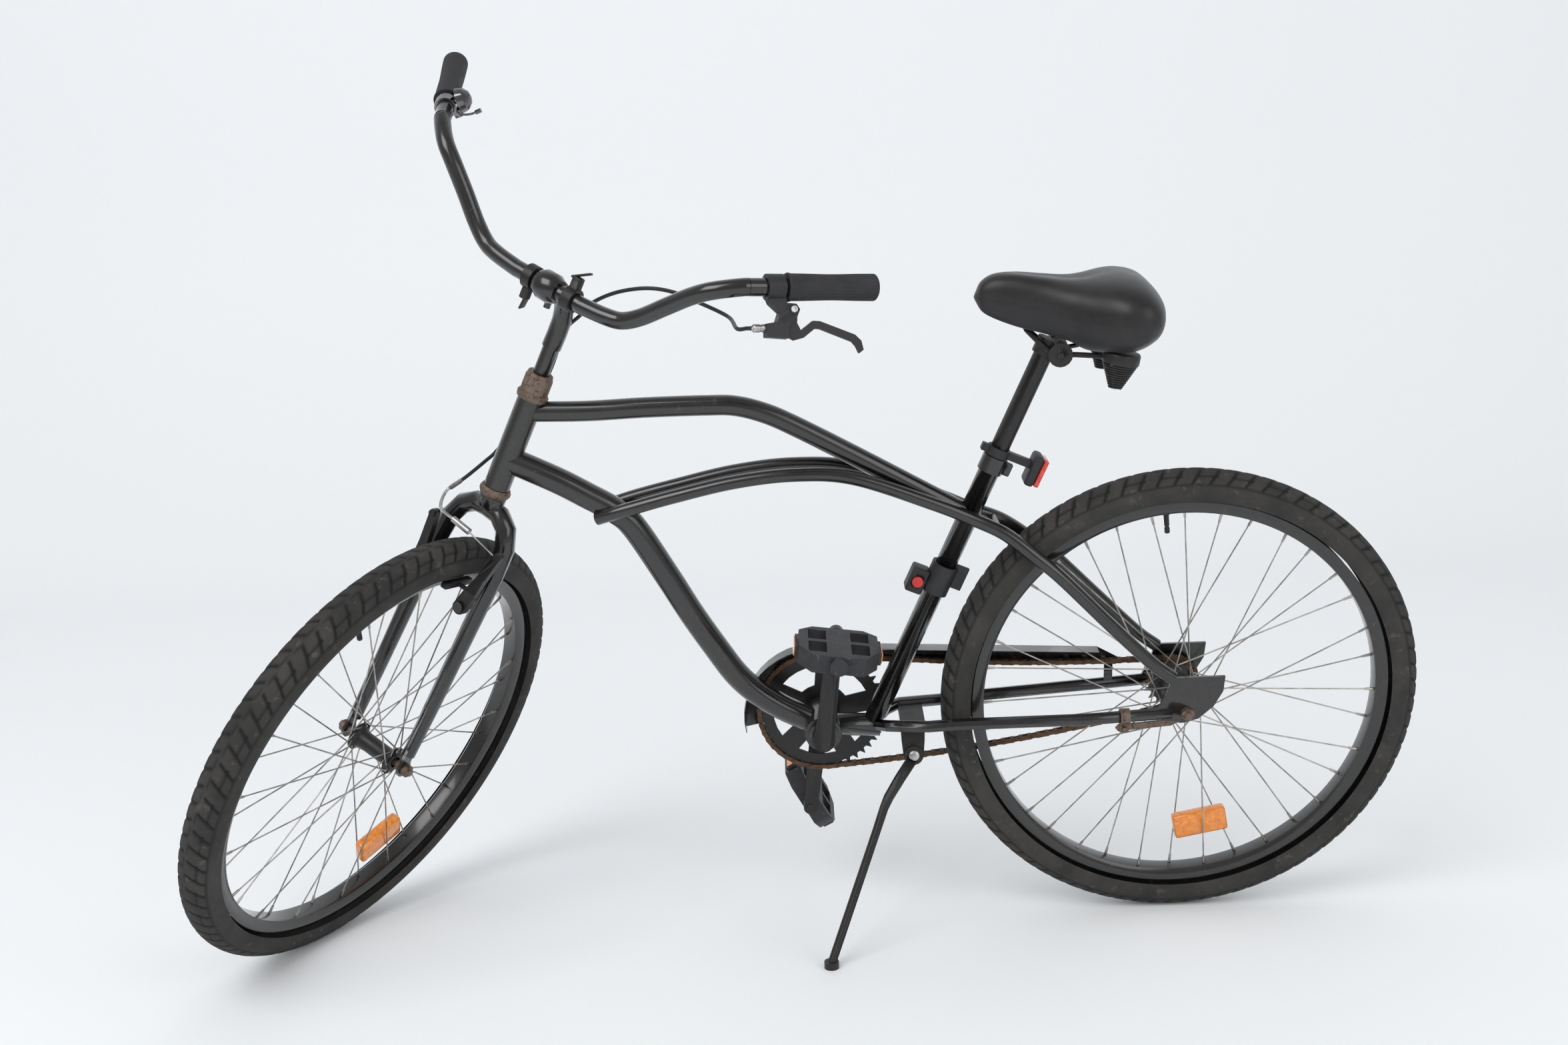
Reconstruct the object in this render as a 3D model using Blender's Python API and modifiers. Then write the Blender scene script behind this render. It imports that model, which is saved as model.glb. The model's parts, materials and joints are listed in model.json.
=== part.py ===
"""Cruiser bicycle with a swept handlebar, a leaning kickstand and a chain guard.

The bicycle stands on its kickstand with the steering turned to the left.
World axes: the front points to -X, the left side to -Y, the floor is z = 0.
Frame axes: the same directions before the lean, with the origin on the rear axle.
Steering axes: +Z up the steering axis, +X to the rear and +Y to the right of the wheel.
"""

import math

import bmesh
import bpy
from mathutils import Matrix, Vector

# Stance
LEAN = math.radians(9.0)
STEER = math.radians(60.0)
REAR_AXLE_X = 0.4979
REAR_AXLE_Y = 0.0360
GAP = 0.0003
WIDE_SIDES = 20
ROUND_SIDES = 16
SMALL_SIDES = 12
TUBE_SIDES = 10
TINY_SIDES = 8

# Wheels
TYRE_SECTION = 0.027
TYRE_RING = 0.303
TYRE_WALL = 0.003
TYRE_BEAD = 0.0025
BEAD_SEAT_DROP = 0.0154
RIM_HEIGHT = 0.0168
RIM_OUTER = TYRE_RING - BEAD_SEAT_DROP
RIM_INNER = RIM_OUTER - RIM_HEIGHT
RIM_WIDTH = 0.033
RIM_WALL = 0.0016
RIM_DEPTH = 0.0065
RIM_FLOOR_HALF_WIDTH = 0.0110
WHEEL_STEPS = 32
SPOKES = 36
SPOKE_SIDES = 3
SPOKE_RADIUS = 0.0010
SPOKE_CROSSING = math.radians(60.0)
SPOKE_SEAT = 0.0003
NIPPLE_SPREAD = 0.0060
SPOKE_HOLE_INSET = 0.0035
VALVE_RADIUS = 0.0034
VALVE_LENGTH = 0.030
AXLE_RADIUS = 0.0048
AXLE_OVERHANG = 0.0125
CONE_RADIUS = 0.0075
CONE_LENGTH = 0.0080
NUT_RADIUS = 0.0088
NUT_LENGTH = 0.0080
FRONT_FLANGE_RADIUS = 0.0205
FRONT_FLANGE_HALF_SPACING = 0.0340
FRONT_BARREL_RADIUS = 0.0125
REAR_FLANGE_RADIUS = 0.0300
REAR_FLANGE_HALF_SPACING = 0.0310
REAR_BARREL_RADIUS = 0.0200
FLANGE_THICKNESS = 0.0030
HUB_CAP = 0.0035
HUB_CUP_DEPTH = 0.0060
REFLECTOR_RADIUS = 0.205
REFLECTOR_SIZE = (0.036, 0.076, 0.0176)
FRONT_VALVE_ANGLE = math.radians(-122.7)
REAR_VALVE_ANGLE = math.radians(-95.6)
FRONT_REFLECTOR_ANGLE = math.radians(62.6)
REAR_REFLECTOR_ANGLE = math.radians(79.0)

# Frame
HEAD_ANGLE = math.radians(65.0)
HEAD_AXIS_X = -1.0770
HEAD_TUBE_RADIUS = 0.0178
HEAD_TUBE_BORE = 0.0150
HEAD_TUBE_BOTTOM = 0.374
HEAD_TUBE_TOP = 0.506
CUP_RADIUS = 0.0215
LOWER_CUP_HEIGHT = 0.013
UPPER_CUP_HEIGHT = 0.010
LOCKNUT_RADIUS = 0.0190
LOCKNUT_HEIGHT = 0.026
TOP_TUBE_RADIUS = 0.0137
DOWN_TUBE_RADIUS = 0.0178
SEAT_TUBE_RADIUS = 0.0143
SEAT_TUBE_BORE = 0.0130
SEAT_TUBE_ANGLE = math.radians(66.1)
SEAT_TUBE_FOOT = Vector((-0.4261, 0.0, -0.0290))
SEAT_TUBE_LENGTH = 0.4220
COLLAR_HEIGHT = 0.0220
COLLAR_WALL = 0.0030
STAY_RADIUS = 0.0093
BRIDGE_RADIUS = 0.0060
BRIDGE_POINT = Vector((-0.2560, 0.0, 0.2630))
CHAIN_STAY_RADIUS = 0.0086
STUB_RADIUS = 0.0160
STUB_END = Vector((-0.4150, 0.0, -0.0315))
BRACKET_CENTRE = Vector((-0.4950, 0.0, -0.0270))
BRACKET_RADIUS = 0.0255
BRACKET_HALF_WIDTH = 0.0340
CUP_LIP_RADIUS = 0.0205
CUP_LIP = 0.0030
SPINDLE_RADIUS = 0.0085
REAR_SPACING = 0.0550
PLATE_THICKNESS = 0.0045

# Fork
FORK_RAKE = 0.0460
STEERER_RADIUS = 0.0127
STEERER_BORE = 0.0114
STEERER_BORE_DEPTH = 0.060
CROWN_HEIGHT = 0.3440
BLADE_TOP_RADIUS = 0.0142
BLADE_TIP_RADIUS = 0.0090
FRONT_SPACING = 0.0500
TAB_THICKNESS = 0.0040
TAB_RADIUS = 0.0125

# Cockpit
QUILL_RADIUS = 0.0110
NECK_RADIUS = 0.0130
QUILL_TOP = 0.6500
QUILL_INSERTION = 0.0400
STEM_BALL_RADIUS = 0.0198
STEM_BALL_HALF_WIDTH = 0.0170
STEM_REACH = 0.0580
BAR_HEIGHT = 0.6660
BAR_RADIUS = 0.0111
BAR_TIP = Vector((0.0740, 0.3450, 0.8330))
BAR_END_AXIS = Vector((0.0610, 0.0510, 0.0250)).normalized()
GRIP_RADIUS = 0.0170
GRIP_LENGTH = 0.1120
GRIP_CAP = 0.0045
CLAMP_WALL = 0.0050
CLAMP_BORE = BAR_RADIUS + 2.0 * GAP
LEVER_CLAMP_DISTANCE = 0.1270
LEVER_CLAMP_HALF_WIDTH = 0.0110
LEVER_PIVOT = (0.0210, 0.0270)
LEVER_PIN_RADIUS = 0.0030
LEVER_BODY_THICKNESS = 0.0140
LEVER_SLOT = 0.0064
LEVER_BLADE_THICKNESS = 0.0056
BARREL_RADIUS = 0.0042
BARREL_HEIGHT = 0.0490
BARREL_END = -0.0290
BELL_CLAMP_DISTANCE = 0.1230
BELL_CLAMP_HALF_WIDTH = 0.0080
BELL_RADIUS = 0.0170
BELL_BASE = 0.0190
BELL_WALL = 0.0013
BELL_PIVOT = (-0.0172, 0.0105)
BELL_PIN_RADIUS = 0.0012
BELL_EAR_PLACE = 0.0040
BELL_EAR_THICKNESS = 0.0022

# Front brake
BRAKE_PIVOT_Y = 0.0430
BRAKE_PIVOT_Z = 0.2200
BRAKE_PLANE = 0.0450
BRAKE_ARM_LENGTH = 0.0940
BRAKE_ARM_THICKNESS = 0.0100
LEFT_ARM_TILT = math.radians(16.0)
RIGHT_ARM_TILT = math.radians(2.0)
BOSS_RADIUS = 0.0065
BOSS_PIN_RADIUS = 0.0040
PAD_LENGTH = 0.0560
PAD_HEIGHT = 0.0090
PAD_THICKNESS = 0.0100
PAD_LIFT = 0.0255
PAD_CLEARANCE = 0.0020
CABLE_RADIUS = 0.0025
NOODLE_RADIUS = 0.0022
BOOT_RADIUS = 0.0045
WIRE_RADIUS = 0.0010

# Drive
RING_TEETH = 44
SPROCKET_TEETH = 18
CHAIN_PITCH = 0.0127
CHAIN_LINE = 0.0435
CHAIN_HEIGHT = 0.0085
CHAIN_PLATE = 0.0012
CHAIN_INSIDE = 0.0036
CHAIN_SAG = 0.0110
ROLLER_RADIUS = 0.0038
RUN_STEPS = 6
RUN_ROLLERS = 4
TOOTH_THICKNESS = 0.0022
TOOTH_TIP = 0.0036
TOOTH_ROOT = 0.0042
CRANK_LENGTH = 0.1630
CRANK_ANGLE = math.radians(82.8)
CRANK_WIDTH = 0.0200
CRANK_THICKNESS = 0.0110
CRANK_PLANE = 0.0580
CRANK_BOSS_RADIUS = 0.0160
PEDAL_START = 0.0700
PEDAL_WIDTH = 0.0980
PEDAL_LENGTH = 0.1040
PEDAL_HEIGHT = 0.0250
PEDAL_PIN_RADIUS = 0.0062
PEDAL_SLEEVE_RADIUS = 0.0120
LEFT_PEDAL_TURN = math.radians(-8.0)
RIGHT_PEDAL_TURN = math.radians(-62.0)
GUARD_RADIUS = 0.1045
GUARD_CENTRE = (-0.5010, -0.0300)
GUARD_WALL_DEPTH = 0.0260
GUARD_PLANE = 0.0500
GUARD_WEB = 0.0220
GUARD_SHEET = 0.0012
COASTER_ARM_THICKNESS = 0.0026
COASTER_CLIP_X = -0.0840

# Kickstand
STAND_PIVOT = Vector((-0.3710, -0.0385, -0.0610))
STAND_AXIS = Vector((0.0, -0.937, 0.350)).normalized()
STAND_LEG = Vector((-0.411, -0.477, -0.776)).normalized()
STAND_LEG_RADIUS = 0.0062
STAND_EYE_RADIUS = 0.0130
STAND_EYE_THICKNESS = 0.0080
STAND_PIN_RADIUS = 0.0042
STAND_FOOT_RADIUS = 0.0100
STAND_FOOT_HEIGHT = 0.0060
LUG_THICKNESS = 0.0050
LUG_HEIGHT = 0.0440

# Saddle
POST_RADIUS = 0.0127
CLAMP_HEIGHT = 0.5831
CLAMP_OFFSET = 0.0152
POST_TOP = CLAMP_HEIGHT + 0.0105
POST_RING_RADIUS = 0.0162
POST_RING_HEIGHT = 0.0220
POST_INSERTION = 0.1100
CORE_RADIUS = 0.0148
CORE_HALF_WIDTH = 0.0165
CLAMP_DISC_RADIUS = 0.0160
CLAMP_DISC_FACE = 0.0270
CLAMP_BOLT_RADIUS = 0.0040
RAIL_RADIUS = 0.0035
RAIL_HALF_SPACING = 0.0215
RAIL_NOSE = Vector((-0.0420, 0.0090, 0.0310))
SPRING_X = 0.0660
SPRING_FOOT = -0.0410
SPRING_TILT = math.radians(10.0)
SPRING_HEIGHT = 0.0500
SPRING_TOP_RADIUS = 0.0245
SPRING_TIP_RADIUS = 0.0088
SPRING_HALF_SPACING = 0.0500
SPRING_CUP_HEIGHT = 0.0160
SPRING_TURNS = 4

# Lights and clips on the seat tube
LIGHT_RING_MIDDLE = 0.0070
LIGHT_RING_HEIGHT = 0.0120
LIGHT_OFFSET = Vector((0.0463, 0.0, -0.0257))
LIGHT_SIZE = (0.0130, 0.0340, 0.0430)
LENS_SIZE = (0.0070, 0.0300, 0.0390)
LOCK_HEIGHT = 0.2360
LOCK_BOX_SIZE = (0.0240, 0.0260, 0.0360)
LOCK_BOX_OFFSET = Vector((-0.0310, 0.0, 0.0))
BUTTON_RADIUS = 0.0075
BUTTON_LENGTH = 0.0060
BUTTON_POCKET = 0.0060

X_AXIS = Vector((1.0, 0.0, 0.0))
Y_AXIS = Vector((0.0, 1.0, 0.0))
Z_AXIS = Vector((0.0, 0.0, 1.0))
HEAD_AXIS = Vector((math.cos(HEAD_ANGLE), 0.0, math.sin(HEAD_ANGLE)))
SEAT_AXIS = Vector((math.cos(SEAT_TUBE_ANGLE), 0.0, math.sin(SEAT_TUBE_ANGLE)))
HEAD_FOOT = Vector((HEAD_AXIS_X, 0.0, 0.0))
SEAT_SIDE = Vector((math.sin(SEAT_TUBE_ANGLE), 0.0, -math.cos(SEAT_TUBE_ANGLE)))
SADDLE_PIVOT = SEAT_TUBE_FOOT + SEAT_AXIS * CLAMP_HEIGHT + SEAT_SIDE * CLAMP_OFFSET
FLOOR_NORMAL = Vector((0.0, math.sin(LEAN), math.cos(LEAN)))
REAR_AXLE_Z = TYRE_RING * math.cos(LEAN) + TYRE_SECTION
STEERER_TOP = HEAD_TUBE_TOP + UPPER_CUP_HEIGHT + LOCKNUT_HEIGHT + 2.0 * GAP
RING_PITCH_RADIUS = CHAIN_PITCH / (2.0 * math.sin(math.pi / RING_TEETH))
SPROCKET_PITCH_RADIUS = CHAIN_PITCH / (2.0 * math.sin(math.pi / SPROCKET_TEETH))
SIDE_VIEW = Matrix.Rotation(math.radians(90.0), 4, "X")


def clear_scene():
    """Remove the objects that the file opened with."""
    for item in list(bpy.data.objects):
        bpy.data.objects.remove(item, do_unlink=True)


def new_collection(name):
    """A collection of the given name under the scene's own."""
    group = bpy.data.collections.new(name)
    bpy.context.scene.collection.children.link(group)
    return group


clear_scene()
parts = new_collection("bicycle")


def material(name, colour, metallic, roughness):
    """A Principled material; colour is linear red, green and blue."""
    shade = bpy.data.materials.new(name)
    shade.use_nodes = True
    node = shade.node_tree.nodes["Principled BSDF"]
    node.inputs["Base Color"].default_value = (*colour, 1.0)
    node.inputs["Metallic"].default_value = metallic
    node.inputs["Roughness"].default_value = roughness
    return shade


def empty(name, parent, matrix):
    """An empty that carries the axes of a moving group."""
    holder = bpy.data.objects.new(name, None)
    parts.objects.link(holder)
    holder.empty_display_size = 0.05
    holder.parent = parent
    holder.matrix_local = matrix
    return holder


def frame_on(origin, z_axis, x_hint):
    """Matrix at origin whose Z is z_axis and whose X lies nearest to x_hint."""
    z = z_axis.normalized()
    y = z.cross(x_hint).normalized()
    x = y.cross(z)
    turn = Matrix((x, y, z)).transposed().to_4x4()
    return Matrix.Translation(origin) @ turn


def rounded(points, steps):
    """Points of a smooth curve that passes through the given points."""
    points = [Vector(p) for p in points]
    ends = [2.0 * points[0] - points[1]] + points + [2.0 * points[-1] - points[-2]]
    path = []
    for a, b, c, d in zip(ends, ends[1:], ends[2:], ends[3:]):
        for i in range(steps):
            t = i / steps
            linear = (c - a) * t
            square = (2.0 * a - 5.0 * b + 4.0 * c - d) * t * t
            cube = (3.0 * b - a - 3.0 * c + d) * t * t * t
            path.append(b + 0.5 * (linear + square + cube))
    path.append(points[-1])
    return path


def flipped(points):
    """The same points on the other side of the middle plane."""
    return [Vector((p[0], -p[1], p[2])) for p in points]


def to_mesh(thing):
    """Replace a curve object, or one with modifiers, by its welded mesh object."""
    bpy.context.view_layer.update()
    shape = thing.evaluated_get(bpy.context.evaluated_depsgraph_get())
    mesh = bpy.data.meshes.new_from_object(shape)
    solid = bpy.data.objects.new(thing.name + "_solid", mesh)
    solid.matrix_world = thing.matrix_world
    parts.objects.link(solid)
    bpy.data.objects.remove(thing, do_unlink=True)
    work = bmesh.new()
    work.from_mesh(mesh)
    bmesh.ops.remove_doubles(work, verts=work.verts, dist=0.00001)
    work.to_mesh(mesh)
    work.free()
    return solid


def tube(points, radius, sides=TINY_SIDES, radii=None, steps=2):
    """A solid round tube along a smooth path; radii scale it point by point."""
    path = rounded(points, steps) if len(points) > 2 else [Vector(p) for p in points]
    curve = bpy.data.curves.new("tube", "CURVE")
    curve.dimensions = "3D"
    curve.bevel_depth = radius
    curve.bevel_resolution = (sides - 4) // 2
    curve.use_fill_caps = True
    spline = curve.splines.new("POLY")
    spline.points.add(len(path) - 1)
    for i, point in enumerate(path):
        spline.points[i].co = (*point, 1.0)
        if radii:
            along = i / (len(path) - 1) * (len(radii) - 1)
            low = min(int(along), len(radii) - 2)
            share = along - low
            spline.points[i].radius = radii[low] * (1.0 - share) + radii[low + 1] * share
    thing = bpy.data.objects.new("tube", curve)
    parts.objects.link(thing)
    return to_mesh(thing)


def rod(start, end, radius, sides=SMALL_SIDES):
    """A cylinder between two points."""
    start, end = Vector(start), Vector(end)
    along = end - start
    bpy.ops.mesh.primitive_cylinder_add(vertices=sides, radius=radius, depth=along.length)
    thing = bpy.context.active_object
    hint = X_AXIS if abs(along.normalized().x) < 0.9 else Y_AXIS
    thing.matrix_world = frame_on((start + end) / 2.0, along, hint)
    return thing


def block(size, matrix, bevel=0.0):
    """A box of the given size in the given axes, with its edges rounded."""
    bpy.ops.mesh.primitive_cube_add(size=1.0)
    thing = bpy.context.active_object
    thing.data.transform(Matrix.Diagonal((*size, 1.0)))
    thing.matrix_world = matrix
    if bevel > 0.0:
        edge = thing.modifiers.new("edges", "BEVEL")
        edge.width = bevel
        edge.segments = 2
        thing = to_mesh(thing)
    return thing


def turned(profile, matrix, steps=ROUND_SIDES, loop=True):
    """A profile of (radius, height) pairs turned about Z: a ring, or a solid from axis to axis."""
    mesh = bpy.data.meshes.new("profile")
    edges = [(i, i + 1) for i in range(len(profile) - 1)]
    if loop:
        edges.append((len(profile) - 1, 0))
    mesh.from_pydata([(r, 0.0, z) for r, z in profile], edges, [])
    thing = bpy.data.objects.new("turned", mesh)
    parts.objects.link(thing)
    screw = thing.modifiers.new("turn", "SCREW")
    screw.steps = steps
    screw.render_steps = steps
    screw.use_merge_vertices = True
    screw.merge_threshold = 0.00001
    solid = to_mesh(thing)
    solid.matrix_world = matrix
    return solid


def plate(outline, thickness, matrix, holes=()):
    """A flat outline, with holes, of the given thickness about the matrix's XY plane."""
    curve = bpy.data.curves.new("plate", "CURVE")
    curve.dimensions = "2D"
    curve.fill_mode = "BOTH"
    curve.extrude = thickness / 2.0
    for loop in (outline, *holes):
        spline = curve.splines.new("POLY")
        spline.points.add(len(loop) - 1)
        for i, point in enumerate(loop):
            spline.points[i].co = (point[0], point[1], 0.0, 1.0)
        spline.use_cyclic_u = True
    thing = bpy.data.objects.new("plate", curve)
    parts.objects.link(thing)
    solid = to_mesh(thing)
    solid.matrix_world = matrix
    return solid


def side_plate(outline, thickness, y, holes=()):
    """A plate that lies in the side view, at the given distance from the middle."""
    return plate(outline, thickness, Matrix.Translation((0.0, y, 0.0)) @ SIDE_VIEW, holes)


def on_circle(centre, radius, angle):
    """Point of a circle in a plane."""
    return (centre[0] + radius * math.cos(angle), centre[1] + radius * math.sin(angle))


def arc(centre, radius, start, end, count):
    """Points of an arc in a plane, from one angle to another, both ends included."""
    return [on_circle(centre, radius, start + (end - start) * i / (count - 1)) for i in range(count)]


def circle(centre, radius, count):
    """Points of a whole circle in a plane."""
    return [on_circle(centre, radius, 2.0 * math.pi * i / count) for i in range(count)]


def combine(base, others, operation):
    """Join the other solids to the base, or cut them out of it."""
    for other in others:
        mod = base.modifiers.new("combine", "BOOLEAN")
        mod.operation = operation
        mod.solver = "EXACT"
        mod.object = other
    solid = to_mesh(base)
    for other in others:
        bpy.data.objects.remove(other, do_unlink=True)
    return solid


def join(base, *others):
    """One solid from several that touch."""
    return combine(base, others, "UNION")


def cut(base, *others):
    """The base without the space that the others take."""
    return combine(base, others, "DIFFERENCE")


def largest(thing):
    """Keep the largest loose body of a mesh and drop the crumbs that a cut left."""
    work = bmesh.new()
    work.from_mesh(thing.data)
    left = set(work.verts)
    bodies = []
    while left:
        seed = left.pop()
        group, border = {seed}, [seed]
        while border:
            vert = border.pop()
            for edge in vert.link_edges:
                other = edge.other_vert(vert)
                if other in left:
                    left.discard(other)
                    group.add(other)
                    border.append(other)
        bodies.append(group)
    bodies.sort(key=len)
    crumbs = [vert for group in bodies[:-1] for vert in group]
    bmesh.ops.delete(work, geom=crumbs, context="VERTS")
    work.to_mesh(thing.data)
    work.free()
    return thing


def finish(thing, name, parent, shade, axes=None):
    """Name a solid, hang it on its holder, whose axes may differ from the frame's, and shade it."""
    back = axes.inverted() if axes else Matrix.Identity(4)
    thing.data.transform(back @ thing.matrix_world)
    thing.matrix_world = Matrix.Identity(4)
    thing.name = name
    thing.data.name = name
    thing.parent = parent
    thing.data.materials.clear()
    thing.data.materials.append(shade)
    for group in list(thing.users_collection):
        group.objects.unlink(thing)
    parts.objects.link(thing)
    thing.data.shade_smooth()
    thing.data.set_sharp_from_angle(angle=math.radians(35.0))


def head_point(height):
    """Frame point at a height along the steering axis."""
    return HEAD_FOOT + HEAD_AXIS * height


def seat_point(height):
    """Frame point at a height along the seat tube, from its foot."""
    return SEAT_TUBE_FOOT + SEAT_AXIS * height


def head_tube_space():
    """The head tube's outside with its clearance, as a cutter."""
    return rod(head_point(HEAD_TUBE_BOTTOM), head_point(HEAD_TUBE_TOP), HEAD_TUBE_RADIUS + GAP, ROUND_SIDES)


def seat_tube_space(low, high, clearance=GAP):
    """A stretch of the seat tube's outside with its clearance, as a cutter."""
    return rod(seat_point(low), seat_point(high), SEAT_TUBE_RADIUS + clearance, ROUND_SIDES)


def down_tube_points():
    """Down tube, from the head tube to the crank bracket."""
    return [
        head_point(0.4155), (-0.840, 0.0, 0.3455), (-0.802, 0.0, 0.323), (-0.764, 0.0, 0.299),
        (-0.740, 0.0, 0.2745), (-0.700, 0.0, 0.204), (-0.669, 0.0, 0.146), (-0.638, 0.0, 0.094),
        (-0.613, 0.0, 0.055), (-0.588, 0.0, 0.028), (-0.553, 0.0, 0.002), (-0.505, 0.0, -0.022),
    ]


def upper_stay_points(sign):
    """Upper stay: beside the top tube and seat tube, then out to the rear axle."""
    half = SEAT_TUBE_RADIUS + STAY_RADIUS + GAP
    points = [
        (-0.787, 0.0150, 0.294), (-0.755, half, 0.3055), (-0.682, half, 0.3240), (-0.602, half, 0.3410),
        (-0.523, half, 0.3480), (-0.445, half, 0.3405), (-0.340, half, 0.301), (-0.285, half, 0.276),
        (-0.245, 0.0320, 0.257), (-0.207, 0.0430, 0.228), (-0.172, 0.0490, 0.198), (-0.107, 0.0540, 0.131),
        (-0.050, REAR_SPACING, 0.074), (-0.016, REAR_SPACING, 0.047),
    ]
    return points if sign > 0.0 else flipped(points)


def chain_stay_points(sign):
    """Chain stay, from the crank bracket's stub to the rear plate."""
    points = [
        (-0.422, 0.0060, -0.0280), (-0.405, 0.0270, -0.0210), (-0.385, 0.0375, -0.0170),
        (-0.350, 0.0415, -0.0170), (-0.310, 0.0420, -0.0150), (-0.260, 0.0465, -0.0125),
        (-0.138, 0.0545, -0.0080), (-0.020, 0.0570, -0.0010),
    ]
    return points if sign > 0.0 else flipped(points)


def stay_tubes(points, radius):
    """Both sides of a stay, as solids of a given radius."""
    return [tube(points(sign), radius, steps=1) for sign in (-1.0, 1.0)]


def dropout_outline(margin):
    """Side view of a rear plate, wider all round by a margin."""
    return [
        (-0.022 - margin, 0.052 + margin), (0.050 + margin, 0.052 + margin), (0.048 + margin, 0.030),
        (0.036 + margin, 0.008), (0.016 + margin, -0.010 - margin), (0.000, -0.014 - margin),
        (-0.034 - margin, -0.011 - margin), (-0.040 - margin, 0.004), (-0.034 - margin, 0.018),
        (-0.026 - margin, 0.036),
    ]


def main_tubes(frame, paint):
    """Head tube, curved top tube and curved down tube."""
    low, high = head_point(HEAD_TUBE_BOTTOM), head_point(HEAD_TUBE_TOP)
    past = HEAD_AXIS * 0.01
    head = cut(rod(low, high, HEAD_TUBE_RADIUS, ROUND_SIDES), rod(low - past, high + past, HEAD_TUBE_BORE, ROUND_SIDES))
    finish(head, "head_tube", frame, paint)
    top_points = [
        head_point(0.484), (-0.793, 0.0, 0.4385), (-0.715, 0.0, 0.4405), (-0.637, 0.0, 0.4405),
        (-0.598, 0.0, 0.4385), (-0.560, 0.0, 0.4275), (-0.521, 0.0, 0.4085), (-0.444, 0.0, 0.3650),
        (-0.338, 0.0, 0.3030), (-0.287, 0.0, 0.273),
    ]
    top = tube(top_points, TOP_TUBE_RADIUS, TUBE_SIDES)
    cup_space = rod(high - past / 10.0, high + 2.0 * past, CUP_RADIUS + GAP, ROUND_SIDES)
    finish(largest(cut(top, head_tube_space(), cup_space, seat_tube_space(0.20, 0.46))), "top_tube", frame, paint)
    down = tube(down_tube_points(), DOWN_TUBE_RADIUS, TUBE_SIDES)
    shell = rod(BRACKET_CENTRE - Y_AXIS * 0.05, BRACKET_CENTRE + Y_AXIS * 0.05, BRACKET_RADIUS + GAP, WIDE_SIDES)
    finish(cut(down, head_tube_space(), shell), "down_tube", frame, paint)


def seat_tube(frame, paint):
    """Seat tube with its pinch collar, open at the top for the post."""
    tube_solid = rod(seat_point(0.0), seat_point(SEAT_TUBE_LENGTH), SEAT_TUBE_RADIUS, ROUND_SIDES)
    low = SEAT_TUBE_LENGTH - COLLAR_HEIGHT
    collar = rod(seat_point(low), seat_point(SEAT_TUBE_LENGTH), SEAT_TUBE_RADIUS + COLLAR_WALL, ROUND_SIDES)
    ear_place = seat_point(SEAT_TUBE_LENGTH - COLLAR_HEIGHT / 2.0) + SEAT_SIDE * (SEAT_TUBE_RADIUS + COLLAR_WALL)
    ear = block((0.018, 0.012, 0.018), frame_on(ear_place, SEAT_AXIS, X_AXIS), 0.002)
    bore_foot = SEAT_TUBE_LENGTH - POST_INSERTION - 0.04
    bore = rod(seat_point(bore_foot), seat_point(SEAT_TUBE_LENGTH + 0.02), SEAT_TUBE_BORE, ROUND_SIDES)
    stub = rod(BRACKET_CENTRE, STUB_END + X_AXIS * 0.03, STUB_RADIUS + GAP, ROUND_SIDES)
    finish(cut(join(tube_solid, collar, ear), bore, stub), "seat_tube", frame, paint)


def bottom_bracket(frame, paint):
    """Crank bracket shell with its bearing cups and the stub that reaches the seat tube."""
    lip = BRACKET_HALF_WIDTH + CUP_LIP
    hole = SPINDLE_RADIUS + GAP
    profile = [
        (CUP_LIP_RADIUS, lip), (CUP_LIP_RADIUS, BRACKET_HALF_WIDTH), (BRACKET_RADIUS, BRACKET_HALF_WIDTH),
        (BRACKET_RADIUS, -BRACKET_HALF_WIDTH), (CUP_LIP_RADIUS, -BRACKET_HALF_WIDTH), (CUP_LIP_RADIUS, -lip),
        (hole, -lip), (hole, lip),
    ]
    shell = turned(profile, frame_on(BRACKET_CENTRE, -Y_AXIS, X_AXIS), WIDE_SIDES)
    inside = BRACKET_RADIUS - 0.004
    hollow = rod(BRACKET_CENTRE - Y_AXIS * 0.05, BRACKET_CENTRE + Y_AXIS * 0.05, inside, WIDE_SIDES)
    stub = cut(rod(BRACKET_CENTRE, STUB_END, STUB_RADIUS, ROUND_SIDES), hollow)
    finish(join(shell, stub), "bottom_bracket", frame, paint)


def stays(frame, paint):
    """Both upper stays, both chain stays with their rear plates, and the bridge."""
    plate_y = REAR_SPACING + PLATE_THICKNESS / 2.0
    for label, sign in (("left", -1.0), ("right", 1.0)):
        room = side_plate(dropout_outline(GAP), PLATE_THICKNESS + 2.0 * GAP, sign * plate_y)
        upper = tube(upper_stay_points(sign), STAY_RADIUS, steps=1)
        down = tube(down_tube_points(), DOWN_TUBE_RADIUS + GAP, TUBE_SIDES)
        finish(largest(cut(upper, down, room)), "upper_stay_" + label, frame, paint)
        lower = tube(chain_stay_points(sign), CHAIN_STAY_RADIUS, steps=1)
        stub = rod(BRACKET_CENTRE, STUB_END + X_AXIS * 0.03, STUB_RADIUS + GAP, ROUND_SIDES)
        lower = largest(cut(lower, stub, seat_tube_space(-0.02, 0.08)))
        rear = side_plate(dropout_outline(0.0), PLATE_THICKNESS, sign * plate_y)
        hole = rod((0.0, sign * 0.04, 0.0), (0.0, sign * 0.08, 0.0), AXLE_RADIUS + GAP, ROUND_SIDES)
        finish(cut(join(lower, rear), hole), "chain_stay_" + label, frame, paint)
    half = SEAT_TUBE_RADIUS + STAY_RADIUS + GAP
    bridge = rod(BRIDGE_POINT - Y_AXIS * half, BRIDGE_POINT + Y_AXIS * half, BRIDGE_RADIUS, SMALL_SIDES)
    finish(largest(cut(bridge, *stay_tubes(upper_stay_points, STAY_RADIUS + GAP))), "stay_bridge", frame, paint)


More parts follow.
